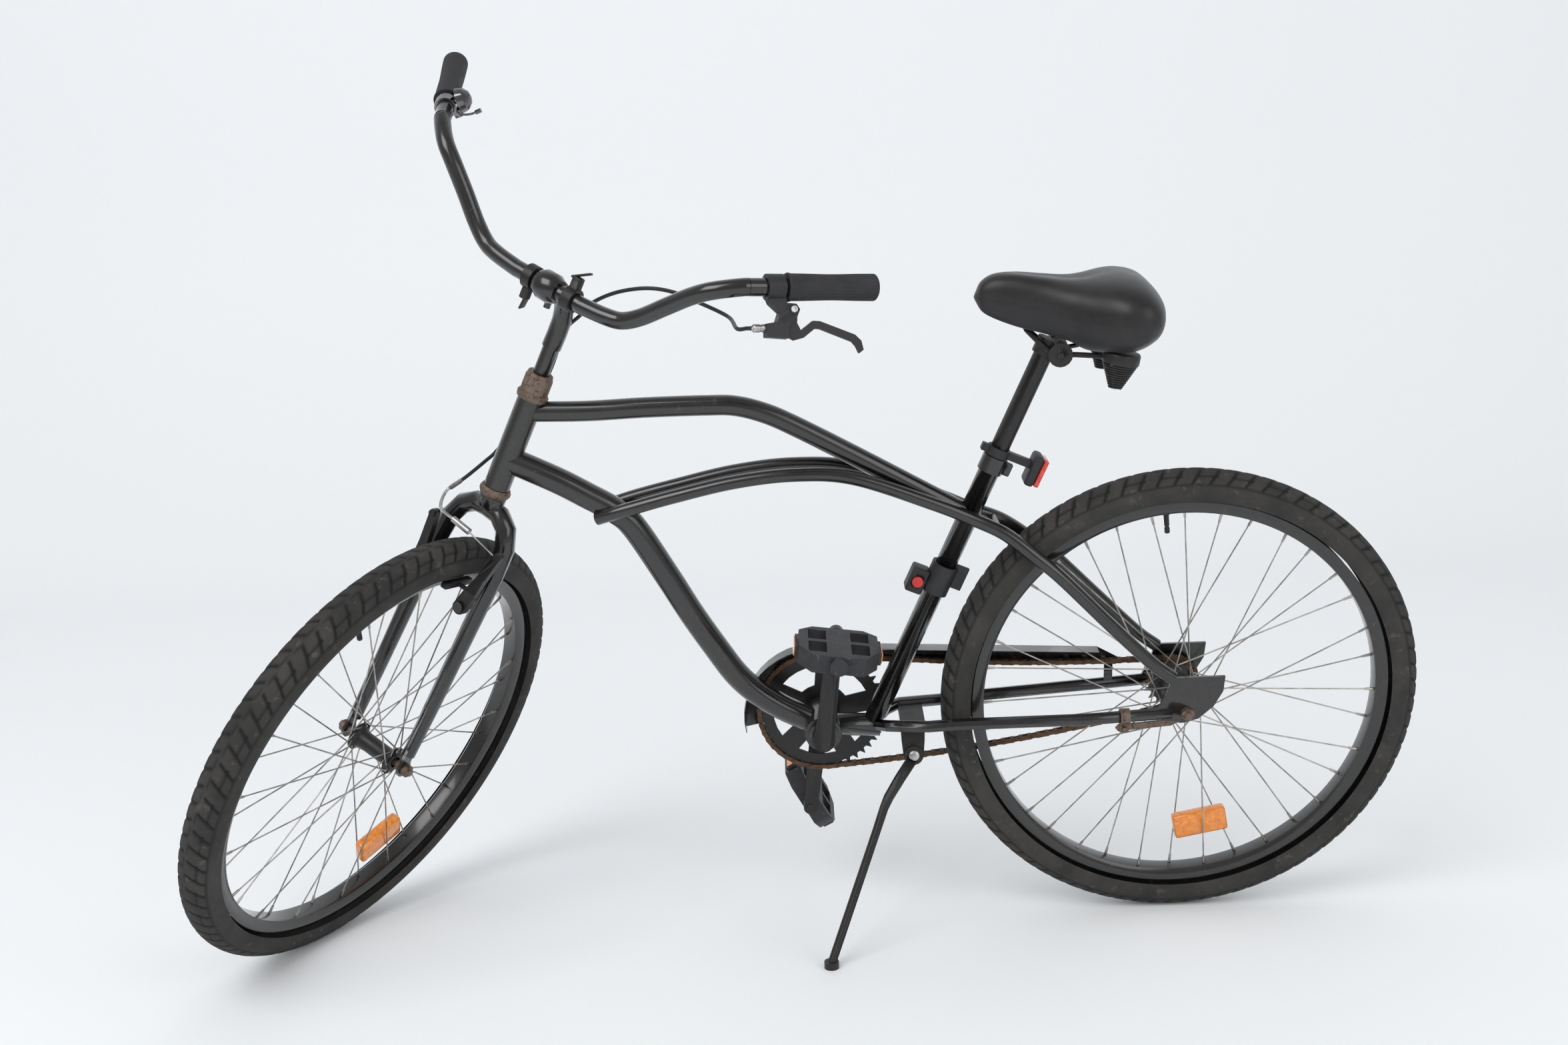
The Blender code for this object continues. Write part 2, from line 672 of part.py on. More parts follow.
def headset(frame, fork, rust, paint):
    """Cups pressed into the head tube, and the locknut that turns with the fork."""
    bore = STEERER_RADIUS + GAP
    matrix = frame_on(HEAD_FOOT, HEAD_AXIS, X_AXIS)
    high = HEAD_TUBE_BOTTOM - GAP
    low = high - LOWER_CUP_HEIGHT
    profile = [(CUP_RADIUS - 0.002, high), (CUP_RADIUS, high - 0.004), (CUP_RADIUS, high - 0.008),
               (CUP_RADIUS - 0.003, low), (bore, low), (bore, high)]
    finish(turned(profile, matrix), "headset_lower", frame, paint)
    low = HEAD_TUBE_TOP + GAP
    high = low + UPPER_CUP_HEIGHT - GAP
    profile = [(CUP_RADIUS - 0.003, high), (CUP_RADIUS, high - 0.003), (CUP_RADIUS - 0.001, low),
               (bore, low), (bore, high)]
    finish(turned(profile, matrix), "headset_upper", frame, rust)
    low = high + GAP
    high = STEERER_TOP
    profile = [(LOCKNUT_RADIUS - 0.002, high), (LOCKNUT_RADIUS - 0.001, high - 0.004),
               (LOCKNUT_RADIUS, high - 0.007), (LOCKNUT_RADIUS, low), (bore, low), (bore, high)]
    finish(turned(profile, Matrix.Identity(4), ROUND_SIDES), "headset_locknut", fork, rust)


def front_axle_height():
    """Height of the front axle on the steering axis that sets both tyres on the floor."""
    turn = Matrix.Rotation(STEER, 3, HEAD_AXIS)
    wheel_axis = turn @ Y_AXIS
    forward = turn @ Vector((-math.sin(HEAD_ANGLE), 0.0, math.cos(HEAD_ANGLE)))
    front = TYRE_RING * math.sqrt(1.0 - wheel_axis.dot(FLOOR_NORMAL) ** 2) + TYRE_SECTION
    start = HEAD_FOOT + forward * FORK_RAKE
    return (front - REAR_AXLE_Z - start.dot(FLOOR_NORMAL)) / HEAD_AXIS.dot(FLOOR_NORMAL)


def fork_blades(axle, crown):
    """Both tapered blades as one arch, from one axle tab over the crown to the other."""
    right = [
        (0.0, 0.020, crown - 0.003), (-0.001, 0.038, crown - 0.016), (-0.003, 0.0485, crown - 0.040),
        (-0.008, 0.0515, crown - 0.080), (-0.019, 0.0515, crown - 0.170), (-0.033, 0.0510, crown - 0.280),
        (-0.0435, 0.0505, axle.z + 0.020),
    ]
    points = flipped(right)[::-1] + [(0.0, 0.0, crown - 0.001)] + right
    tip = BLADE_TIP_RADIUS / BLADE_TOP_RADIUS
    taper = (0.75, 0.86, 0.95, 1.0, 1.0)
    return tube(points, BLADE_TOP_RADIUS, TUBE_SIDES, (tip, *taper, *taper[::-1], tip), steps=1)


def fork_piece(fork, axle, paint):
    """Steerer, arched blades, axle tabs and brake bosses, all one welded fork."""
    crown = CROWN_HEIGHT
    steerer = rod((0.0, 0.0, crown - 0.006), (0.0, 0.0, STEERER_TOP), STEERER_RADIUS, ROUND_SIDES)
    seat = HEAD_TUBE_BOTTOM - LOWER_CUP_HEIGHT - 2.0 * GAP
    race = rod((0.0, 0.0, crown + 0.002), (0.0, 0.0, seat), CUP_RADIUS - 0.003, ROUND_SIDES)
    pieces = [race, fork_blades(axle, crown)]
    arm_back = BRAKE_PLANE - BRAKE_ARM_THICKNESS / 2.0 - GAP
    arm_front = BRAKE_PLANE + BRAKE_ARM_THICKNESS / 2.0 + GAP
    for sign in (-1.0, 1.0):
        outline = arc((0.0, 0.0), TAB_RADIUS, math.radians(150.0), math.radians(400.0), 12)
        outline = outline + [(0.010, 0.034), (-0.006, 0.034)]
        tab_y = sign * (FRONT_SPACING + TAB_THICKNESS / 2.0)
        place = Matrix.Translation((axle.x, tab_y, axle.z)) @ SIDE_VIEW
        pieces.append(plate(outline, TAB_THICKNESS, place))
        y = sign * BRAKE_PIVOT_Y
        pieces.append(rod((-0.015, y, BRAKE_PIVOT_Z), (-arm_back, y, BRAKE_PIVOT_Z), BOSS_RADIUS, SMALL_SIDES))
        end = -arm_front - 0.003
        pieces.append(rod((-0.030, y, BRAKE_PIVOT_Z), (end + 0.001, y, BRAKE_PIVOT_Z), BOSS_PIN_RADIUS, SMALL_SIDES))
        pieces.append(rod((-arm_front, y, BRAKE_PIVOT_Z), (end, y, BRAKE_PIVOT_Z), BOSS_RADIUS + 0.001, SMALL_SIDES))
    whole = join(steerer, *pieces)
    bore = rod((0.0, 0.0, HEAD_TUBE_TOP - STEERER_BORE_DEPTH), (0.0, 0.0, STEERER_TOP + 0.01), STEERER_BORE, ROUND_SIDES)
    hole = rod((axle.x, -0.07, axle.z), (axle.x, 0.07, axle.z), AXLE_RADIUS + GAP, ROUND_SIDES)
    finish(cut(whole, bore, hole), "fork", fork, paint)


def axle_piece(name, parent, half_spacing, tab, matrix, steel):
    """Axle rod with its cones inside the tabs and its nuts outside them."""
    face = half_spacing + tab + GAP
    inner = half_spacing - GAP
    cone = inner - CONE_LENGTH
    end = half_spacing + tab + AXLE_OVERHANG
    nut_end = face + NUT_LENGTH
    half = [(AXLE_RADIUS, end), (AXLE_RADIUS, nut_end), (NUT_RADIUS, nut_end), (NUT_RADIUS, face), (AXLE_RADIUS, face),
            (AXLE_RADIUS, inner), (CONE_RADIUS, inner), (CONE_RADIUS, cone), (AXLE_RADIUS, cone)]
    other = [(r, -z) for r, z in reversed(half)]
    profile = [(0.0, end)] + half + other + [(0.0, -end)]
    finish(turned(profile, matrix, SMALL_SIDES, loop=False), name, parent, steel)


def tyre(name, parent, rubber, phase):
    """Tyre with a round section, open towards the rim; a facet's corner lies at the phase angle."""
    outer = arc((TYRE_RING, 0.0), TYRE_SECTION, math.radians(118.0), math.radians(-118.0), 7)
    inner = arc((TYRE_RING, 0.0), TYRE_SECTION - TYRE_WALL, math.radians(-100.0), math.radians(100.0), 3)
    bead = RIM_WIDTH / 2.0 - RIM_WALL - GAP
    inside = bead - TYRE_BEAD
    foot = RIM_OUTER - RIM_DEPTH + GAP
    lip = RIM_OUTER + GAP
    profile = [(lip, bead)] + outer + [(lip, -bead), (foot, -bead), (foot, -inside), (lip, -inside)]
    profile += inner + [(lip, inside), (foot, inside), (foot, bead)]
    finish(turned(profile, Matrix.Rotation(phase, 4, "Z"), WHEEL_STEPS), name, parent, rubber)


def rim(name, parent, black, phase, valve_angle):
    """Rim channel with the tyre's valve standing through its floor."""
    half = RIM_WIDTH / 2.0
    wall = half - RIM_WALL
    foot = RIM_OUTER - RIM_DEPTH
    floor = RIM_FLOOR_HALF_WIDTH
    inside = RIM_INNER + RIM_WALL
    well = floor - RIM_WALL
    shoulder = foot - RIM_WALL
    profile = [(foot, wall), (inside, well), (inside, -well), (foot, -wall),
               (RIM_OUTER, -wall), (RIM_OUTER, -half), (shoulder, -half), (RIM_INNER, -floor),
               (RIM_INNER, floor), (shoulder, half), (RIM_OUTER, half), (RIM_OUTER, wall)]
    solid = turned(profile, Matrix.Rotation(phase, 4, "Z"), WHEEL_STEPS)
    out = Vector((math.cos(valve_angle), math.sin(valve_angle), 0.0))
    stem = rod(out * (RIM_INNER + 0.001), out * (RIM_INNER - VALVE_LENGTH), VALVE_RADIUS, SMALL_SIDES)
    finish(join(solid, stem), name, parent, black)


def hub(name, parent, flange, spacing, barrel, steel):
    """Hub shell with two flanges and its spokes, laced so that they cross."""
    bore = AXLE_RADIUS + GAP
    cup = CONE_RADIUS + 0.0007
    inside = spacing - FLANGE_THICKNESS
    end = spacing + HUB_CAP
    floor = spacing - HUB_CUP_DEPTH
    half = [(cup + 0.003, end), (cup + 0.004, spacing), (flange, spacing), (flange, inside),
            (barrel + 0.003, inside - 0.002), (barrel, inside - 0.008)]
    profile = half + [(r, -z) for r, z in reversed(half)]
    profile += [(cup, -end), (cup, -floor), (bore, -floor), (bore, floor), (cup, floor), (cup, end)]
    shell = turned(profile, Matrix.Identity(4), SMALL_SIDES)
    spokes = []
    each = SPOKES // 2
    foot_radius = flange - SPOKE_HOLE_INSET
    reach = RIM_INNER * math.cos(math.pi / WHEEL_STEPS) - GAP
    for side in (-1.0, 1.0):
        for i in range(each):
            foot_angle = 2.0 * math.pi * (i + 0.25 * (1.0 + side)) / each
            outer = i % 2 == 1
            rim_angle = foot_angle + (SPOKE_CROSSING if outer else -SPOKE_CROSSING)
            foot_height = spacing + SPOKE_SEAT if outer else inside - SPOKE_SEAT
            foot = (*on_circle((0.0, 0.0), foot_radius, foot_angle), side * foot_height)
            head = (*on_circle((0.0, 0.0), reach, rim_angle), side * NIPPLE_SPREAD)
            spokes.append(rod(foot, head, SPOKE_RADIUS, SPOKE_SIDES))
    finish(join(shell, *spokes), name, parent, steel)


def reflector(name, parent, angle, amber):
    """Wheel reflector clipped between the spokes."""
    centre = Vector((*on_circle((0.0, 0.0), REFLECTOR_RADIUS, angle), 0.0))
    finish(block(REFLECTOR_SIZE, frame_on(centre, Z_AXIS, centre), 0.004), name, parent, amber)


def bar_end(side, distance):
    """Point on the straight end of the bar at a distance from its tip, and the way to the tip."""
    tip = Vector((BAR_TIP.x, side * BAR_TIP.y, BAR_TIP.z))
    axis = Vector((BAR_END_AXIS.x, side * BAR_END_AXIS.y, BAR_END_AXIS.z))
    return tip - axis * distance, axis


def handlebar(fork, paint, rubber):
    """Swept bar bent from one tube, with a rubber grip on each end."""
    right = [
        Vector((-STEM_REACH, 0.0, BAR_HEIGHT)), Vector((-STEM_REACH, 0.046, BAR_HEIGHT)),
        Vector((-STEM_REACH, 0.056, BAR_HEIGHT)), Vector((-0.0570, 0.090, 0.6690)),
        Vector((-0.0545, 0.112, 0.6740)), Vector((-0.0555, 0.135, 0.6900)), Vector((-0.0600, 0.165, 0.7195)),
        Vector((-0.0650, 0.193, 0.7465)), Vector((-0.0640, 0.216, 0.7650)),
    ]
    right += [bar_end(1.0, distance)[0] for distance in (0.166, 0.145, 0.0)]
    points = flipped(right[:0:-1]) + right
    finish(tube(points, BAR_RADIUS, TUBE_SIDES, steps=1), "handlebar", fork, paint)
    bore = BAR_RADIUS + GAP
    flare = GRIP_RADIUS + 0.001
    for label, side in (("left", -1.0), ("right", 1.0)):
        tip, axis = bar_end(side, 0.0)
        profile = [(0.0, GRIP_CAP), (GRIP_RADIUS - 0.002, GRIP_CAP), (GRIP_RADIUS, GRIP_CAP - 0.0035),
                   (GRIP_RADIUS, 0.006 - GRIP_LENGTH), (flare, 0.004 - GRIP_LENGTH), (flare, -GRIP_LENGTH),
                   (bore, -GRIP_LENGTH), (bore, GAP), (0.0, GAP)]
        finish(turned(profile, frame_on(tip, axis, Z_AXIS), ROUND_SIDES, loop=False), "grip_" + label, fork, rubber)


def stem(fork, paint):
    """Quill, curved neck and the round head that clamps the bar."""
    ball = Vector((-STEM_REACH, 0.0, BAR_HEIGHT))
    foot = STEERER_TOP - QUILL_INSERTION
    quill = rod((0.0, 0.0, foot), (0.0, 0.0, QUILL_TOP - 0.020), QUILL_RADIUS, ROUND_SIDES)
    neck_points = [(0.0, 0.0, QUILL_TOP - 0.070), (0.0, 0.0, QUILL_TOP - 0.030), (-0.012, 0.0, QUILL_TOP - 0.004),
                   (-0.034, 0.0, BAR_HEIGHT - 0.003), ball]
    neck = tube(neck_points, NECK_RADIUS, SMALL_SIDES)
    wide = STEM_BALL_HALF_WIDTH
    half = [(STEM_BALL_RADIUS - 0.0045, wide), (STEM_BALL_RADIUS, wide / 2.0)]
    profile = [(0.0, wide)] + half + [(r, -z) for r, z in reversed(half)] + [(0.0, -wide)]
    head = turned(profile, frame_on(ball, Y_AXIS, X_AXIS), ROUND_SIDES, loop=False)
    bolt = rod(ball + Vector((0.012, 0.0, -0.010)), ball + Vector((0.012, 0.0, -0.029)), 0.0045, SMALL_SIDES)
    bore = rod(ball - Y_AXIS * 0.05, ball + Y_AXIS * 0.05, BAR_RADIUS + GAP, ROUND_SIDES)
    finish(cut(join(quill, neck, head, bolt), bore), "stem", fork, paint)


def accessory_clamps(fork, black):
    """Two empty clamps on the middle of the bar, each with an ear and a small wing."""
    for label, y, width, wing_axis in (("left", -0.0360, 0.0150, (0.2, -0.8, 0.5)),
                                       ("right", 0.0280, 0.0130, (0.3, 0.3, -0.9))):
        centre = Vector((-STEM_REACH, y, BAR_HEIGHT))
        ring = rod(centre - Y_AXIS * width / 2.0, centre + Y_AXIS * width / 2.0, BAR_RADIUS + CLAMP_WALL, ROUND_SIDES)
        up = 1.0 if label == "left" else -1.0
        ear_place = Matrix.Translation(centre + Vector((0.0, 0.0, up * 0.020)))
        ear = block((0.012, width - 0.002, 0.020), ear_place, 0.002)
        wing_place = frame_on(centre + Vector((0.004, 0.0, up * 0.033)), Vector(wing_axis), X_AXIS)
        wing = block((0.010, 0.003, 0.026), wing_place, 0.001)
        bore = rod(centre - Y_AXIS * 0.03, centre + Y_AXIS * 0.03, CLAMP_BORE, ROUND_SIDES)
        finish(cut(join(ring, ear, wing), bore), "accessory_clamp_" + label, fork, black)


def lever_axes():
    """Axes of the brake lever: X to the grip's end, Y down to the blade, origin on the bar."""
    point, along = bar_end(-1.0, LEVER_CLAMP_DISTANCE)
    down = Vector((-0.075, -0.514, -0.854))
    return frame_on(point, along.cross(down), along)


def lever_holder_axes():
    """The lever's axes moved onto its pin."""
    return lever_axes() @ Matrix.Translation((*LEVER_PIVOT, 0.0))


def brake_lever(fork, holder, black):
    """Bracket clamped on the left bar, and the blade that turns on the bracket's pin."""
    axes = lever_axes()
    wide = LEVER_CLAMP_HALF_WIDTH
    ring = rod(axes @ Vector((-wide, 0.0, 0.0)), axes @ Vector((wide, 0.0, 0.0)), BAR_RADIUS + CLAMP_WALL, ROUND_SIDES)
    outline = [(-0.011, 0.012), (0.012, 0.012), (0.0135, 0.0194), (0.0250, 0.0204), (0.0295, 0.027), (0.026, 0.035), (0.017, 0.043),
               (0.0140, 0.048), (0.0140, 0.062), (-0.014, 0.060), (-0.014, 0.044), (0.000, 0.042), (0.004, 0.031),
               (-0.008, 0.020)]
    body = plate(outline, LEVER_BODY_THICKNESS, axes)
    barrel = rod(axes @ Vector((-0.010, BARREL_HEIGHT, 0.0)), axes @ Vector((BARREL_END, BARREL_HEIGHT, 0.0)),
                 BARREL_RADIUS, SMALL_SIDES)
    slot = block((0.040, 0.054, LEVER_SLOT), axes @ Matrix.Translation((0.0330, 0.039, 0.0)))
    bore = rod(axes @ Vector((-0.03, 0.0, 0.0)), axes @ Vector((0.03, 0.0, 0.0)), CLAMP_BORE, ROUND_SIDES)
    pin_half = LEVER_BODY_THICKNESS / 2.0 + 0.001
    pin = rod(axes @ Vector((*LEVER_PIVOT, -pin_half)), axes @ Vector((*LEVER_PIVOT, pin_half)), LEVER_PIN_RADIUS, SMALL_SIDES)
    finish(join(cut(join(ring, body, barrel), slot, bore), pin), "brake_lever_bracket", fork, black)
    boss = arc(LEVER_PIVOT, 0.0068, 0.0, -math.pi, 9)
    blade = boss + [(0.0150, 0.040), (0.0150, 0.060), (0.022, 0.064), (0.034, 0.061), (0.049, 0.050),
                    (0.056, 0.0505), (0.097, 0.066), (0.102, 0.0715), (0.106, 0.0800), (0.1115, 0.0760),
                    (0.1090, 0.0650), (0.101, 0.0575), (0.056, 0.041), (0.047, 0.0405), (0.031, 0.052),
                    (0.0265, 0.043)]
    hole = circle(LEVER_PIVOT, LEVER_PIN_RADIUS + GAP, SMALL_SIDES)
    finish(plate(blade, LEVER_BLADE_THICKNESS, axes, (hole,)), "brake_lever", holder, black, lever_holder_axes())


def bell_axes():
    """Axes of the bell: X along the bar to the grip, Z out to the dome, origin on the bar."""
    point, along = bar_end(1.0, BELL_CLAMP_DISTANCE)
    return frame_on(point, Vector((0.30, -0.684, 0.667)), along)


def bell_holder_axes():
    """The bell's axes moved onto the thumb lever's pin."""
    return bell_axes() @ Matrix.Translation((0.0, *BELL_PIVOT))


def bell(fork, holder, chrome):
    """Bell clamped inboard of the right grip, with its sprung thumb lever."""
    axes = bell_axes()
    wide = BELL_CLAMP_HALF_WIDTH
    ring = rod(axes @ Vector((-wide, 0.0, 0.0)), axes @ Vector((wide, 0.0, 0.0)), BAR_RADIUS + 0.0035, ROUND_SIDES)
    top = BELL_BASE + BELL_RADIUS - BELL_WALL / 2.0
    post = rod(axes @ Vector((0.0, 0.0, 0.0130)), axes @ Vector((0.0, 0.0, top)), 0.0030, SMALL_SIDES)
    outside = arc((0.0, BELL_BASE), BELL_RADIUS, math.radians(90.0), 0.0, 4)
    inside = arc((0.0, BELL_BASE), BELL_RADIUS - BELL_WALL, 0.0, math.radians(90.0), 4)
    dome = turned([(max(r, 0.0), z) for r, z in outside + inside], axes, SMALL_SIDES, loop=False)
    bore = rod(axes @ Vector((-0.03, 0.0, 0.0)), axes @ Vector((0.03, 0.0, 0.0)), CLAMP_BORE, ROUND_SIDES)
    ears = []
    for side in (-1.0, 1.0):
        place = axes @ Matrix.Translation((side * BELL_EAR_PLACE, BELL_PIVOT[0] + 0.0022, BELL_PIVOT[1] - 0.0005))
        ears.append(block((BELL_EAR_THICKNESS, 0.010, 0.010), place, 0.0005))
    pin_half = BELL_EAR_PLACE + BELL_EAR_THICKNESS / 2.0
    pin = rod(axes @ Vector((-pin_half, *BELL_PIVOT)), axes @ Vector((pin_half, *BELL_PIVOT)), BELL_PIN_RADIUS, TINY_SIDES)
    finish(join(cut(join(ring, *ears), bore), pin, post, dome), "bell", fork, chrome)
    eye_half = BELL_EAR_PLACE - BELL_EAR_THICKNESS / 2.0 - GAP
    eye = rod((-eye_half, 0.0, 0.0), (eye_half, 0.0, 0.0), 0.0030, SMALL_SIDES)
    arm = tube([(0.0, -0.0010, 0.0005), (0.0, -0.0042, 0.0090), (0.0, -0.0055, 0.0170), (0.0, -0.0050, 0.0250)],
               0.0016)
    thumb = rod((0.0, -0.0055, 0.0210), (0.0, -0.0048, 0.0290), 0.0030, SMALL_SIDES)
    hole = rod((-0.01, 0.0, 0.0), (0.01, 0.0, 0.0), BELL_PIN_RADIUS + GAP, SMALL_SIDES)
    finish(cut(join(eye, arm, thumb), hole), "bell_lever", holder, chrome)


def brake_arm_axes(sign):
    """Axes of a brake arm: Z forward along its pivot, Y up the arm, which leans outwards."""
    tilt = LEFT_ARM_TILT if sign < 0.0 else RIGHT_ARM_TILT
    pivot = Vector((-BRAKE_PLANE, sign * BRAKE_PIVOT_Y, BRAKE_PIVOT_Z))
    return frame_on(pivot, -X_AXIS, -Y_AXIS) @ Matrix.Rotation(sign * tilt, 4, "Z")


def brake_arm(label, sign, holder, black):
    """One brake arm with its pad, which stands upright beside the rim."""
    half = BRAKE_ARM_THICKNESS / 2.0
    top = (0.0, BRAKE_ARM_LENGTH)
    outline = arc((0.0, 0.0), 0.0105, math.radians(200.0), math.radians(340.0), 8)
    outline += [(0.0095, 0.020), (0.0065, 0.050)]
    outline += arc(top, 0.0055, math.radians(0.0), math.radians(180.0), 7)
    outline += [(-0.0065, 0.050), (-0.0095, 0.020)]
    arm = plate(outline, BRAKE_ARM_THICKNESS, Matrix.Identity(4))
    tilt = LEFT_ARM_TILT if sign < 0.0 else RIGHT_ARM_TILT
    upright = Matrix.Rotation(-sign * tilt, 4, "Z")
    reach = BRAKE_PIVOT_Y - RIM_WIDTH / 2.0 - PAD_CLEARANCE - PAD_THICKNESS
    post = rod(upright @ Vector((0.0, PAD_LIFT, 0.0)), upright @ Vector((sign * (reach + 0.002), PAD_LIFT, 0.0)),
               0.0032, SMALL_SIDES)
    nut = rod(upright @ Vector((-sign * 0.016, PAD_LIFT, 0.0)), upright @ Vector((0.0, PAD_LIFT, 0.0)), 0.0055, SMALL_SIDES)
    pad_place = Matrix.Translation((sign * (reach + PAD_THICKNESS / 2.0), PAD_LIFT, 0.0))
    pad = block((PAD_THICKNESS, PAD_HEIGHT, PAD_LENGTH), upright @ pad_place, 0.0015)
    bolt = rod((*top, 0.0), (*top, half + 0.0035), 0.0045, SMALL_SIDES)
    hole = rod((0.0, 0.0, -0.02), (0.0, 0.0, 0.02), BOSS_PIN_RADIUS + GAP, SMALL_SIDES)
    finish(cut(join(arm, post, nut, pad, bolt), hole), "brake_arm_" + label, holder, black)


def brake_cable(fork, black, silver):
    """Housing from the lever to the front brake, then guide tube, boot and bare wire."""
    start = lever_axes() @ Vector((BARREL_END - GAP, BARREL_HEIGHT, 0.0))
    straight = lever_axes() @ Vector((BARREL_END - 0.008, BARREL_HEIGHT, 0.0))
    end = Vector((-0.0480, 0.0360, 0.3575))
    away = lever_axes() @ Vector((BARREL_END - 0.020, BARREL_HEIGHT, 0.0005))
    route = [start, straight, away, (0.0300, -0.2024, 0.7234), (0.0050, -0.1724, 0.7273),
             (-0.0100, -0.1379, 0.7260), (-0.0200, -0.1068, 0.7158), (-0.0200, -0.0700, 0.6920),
             (-0.0120, -0.0387, 0.6620), (0.0060, -0.0185, 0.6340), (0.0210, 0.0010, 0.6080),
             (0.0270, 0.0060, 0.5780), (0.0300, 0.0065, 0.5450), (0.0300, 0.0110, 0.4980),
             (0.0275, 0.0220, 0.4500), (0.0219, 0.0340, 0.4067), (0.0100, 0.0365, 0.3920),
             (-0.0199, 0.0370, 0.3705), end]
    forward = (end - Vector(route[-2])).normalized()
    finish(tube(route, CABLE_RADIUS, 6), "brake_cable", fork, black)
    plane = -(BRAKE_PLANE + BRAKE_ARM_THICKNESS / 2.0 + NOODLE_RADIUS + GAP)
    bend = [end + forward * 2.0 * GAP, end + forward * 0.006, (plane, 0.0390, 0.3420),
            (plane, 0.0370, 0.3290), (plane, 0.0270, 0.3250), (plane, 0.0100, 0.3240)]
    guide = tube(bend, NOODLE_RADIUS, 6)
    boot = rod((plane, 0.0120, 0.3240), (plane, -0.0180, 0.3210), BOOT_RADIUS, SMALL_SIDES)
    arm_top = frame_top(-1.0)
    wire = rod((plane, -0.0150, 0.3212), (plane, arm_top.y + 0.0050, arm_top.z + 0.0008), WIRE_RADIUS, TINY_SIDES)
    finish(join(guide, boot, wire), "brake_noodle", fork, silver)


def frame_top(sign):
    """Steering-axes point of a brake arm's upper bolt."""
    return brake_arm_axes(sign) @ Vector((0.0, BRAKE_ARM_LENGTH, 0.0))


def sagging_run(start, end, steps):
    """Points between two ends of a chain run that hangs in a shallow bow."""
    points = []
    for i in range(1, steps):
        t = i / steps
        sag = CHAIN_SAG * 4.0 * t * (1.0 - t)
        points.append((start[0] + (end[0] - start[0]) * t, start[1] + (end[1] - start[1]) * t - sag))
    return points


def chain_line():
    """Pitch line of the chain in the side view, and the roller places on its two free runs."""
    ring = (BRACKET_CENTRE.x, BRACKET_CENTRE.z)
    rear = (0.0, 0.0)
    apart = math.hypot(rear[0] - ring[0], rear[1] - ring[1])
    base = math.atan2(rear[1] - ring[1], rear[0] - ring[0])
    lean = math.asin((RING_PITCH_RADIUS - SPROCKET_PITCH_RADIUS) / apart)
    top, low = base + math.pi / 2.0 - lean, base - math.pi / 2.0 + lean
    ring_top, ring_low = on_circle(ring, RING_PITCH_RADIUS, top), on_circle(ring, RING_PITCH_RADIUS, low)
    rear_top, rear_low = on_circle(rear, SPROCKET_PITCH_RADIUS, top), on_circle(rear, SPROCKET_PITCH_RADIUS, low)
    points = arc(ring, RING_PITCH_RADIUS, top, low + 2.0 * math.pi, 16)
    points += sagging_run(ring_low, rear_low, RUN_STEPS)
    points += arc(rear, SPROCKET_PITCH_RADIUS, low, top, 8)
    points += sagging_run(rear_top, ring_top, RUN_STEPS)
    rollers = sagging_run(ring_low, rear_low, RUN_ROLLERS + 1) + sagging_run(rear_top, ring_top, RUN_ROLLERS + 1)
    return points, rollers


def offset_line(points, distance, closed):
    """A line in a plane, moved to its right-hand side by a distance."""
    moved = []
    last = len(points) - 1
    for i, point in enumerate(points):
        before = points[i - 1] if closed or i > 0 else point
        after = points[(i + 1) % len(points)] if closed or i < last else point
        side = Vector((after[0] - before[0], after[1] - before[1])).normalized()
        moved.append((point[0] + side.y * distance, point[1] - side.x * distance))
    return moved


def chain(frame, rust):
    """Two plate bands, one on each side of the teeth, joined by rollers on the free runs."""
    points, rollers = chain_line()
    outer = offset_line(points, CHAIN_HEIGHT / 2.0, True)
    inner = offset_line(points, -CHAIN_HEIGHT / 2.0, True)
    apart = (CHAIN_INSIDE + CHAIN_PLATE) / 2.0
    near, far = [side_plate(outer, CHAIN_PLATE, CHAIN_LINE + sign * apart, (inner,)) for sign in (-1.0, 1.0)]
    pins = [rod((x, CHAIN_LINE - apart, z), (x, CHAIN_LINE + apart, z), ROLLER_RADIUS, TINY_SIDES) for x, z in rollers]
    finish(join(near, far, *pins), "chain", frame, rust)


def gear_outline(teeth, pitch_radius):
    """Toothed outline: two points in each gap and one on each tooth."""
    points = []
    for i in range(teeth):
        for share, rise in ((-0.30, -TOOTH_ROOT), (0.0, TOOTH_TIP), (0.30, -TOOTH_ROOT)):
            points.append(on_circle((0.0, 0.0), pitch_radius + rise, 2.0 * math.pi * (i + share) / teeth))
    return points


def chainring(holder, black):
    """Toothed ring with five windows between its arms."""
    wide, slim = math.radians(23.0), math.radians(15.0)
    openings = [circle((0.0, 0.0), CRANK_BOSS_RADIUS + GAP, ROUND_SIDES)]
    for i in range(5):
        middle = CRANK_ANGLE + math.radians(36.0 + 72.0 * i)
        openings.append(arc((0.0, 0.0), 0.0690, middle - wide, middle + wide, 5)
                        + arc((0.0, 0.0), 0.0400, middle + slim, middle - slim, 3))
    ring = plate(gear_outline(RING_TEETH, RING_PITCH_RADIUS), TOOTH_THICKNESS,
                 Matrix.Translation((0.0, 0.0, -CHAIN_LINE)), openings)
    finish(ring, "chainring", holder, black)


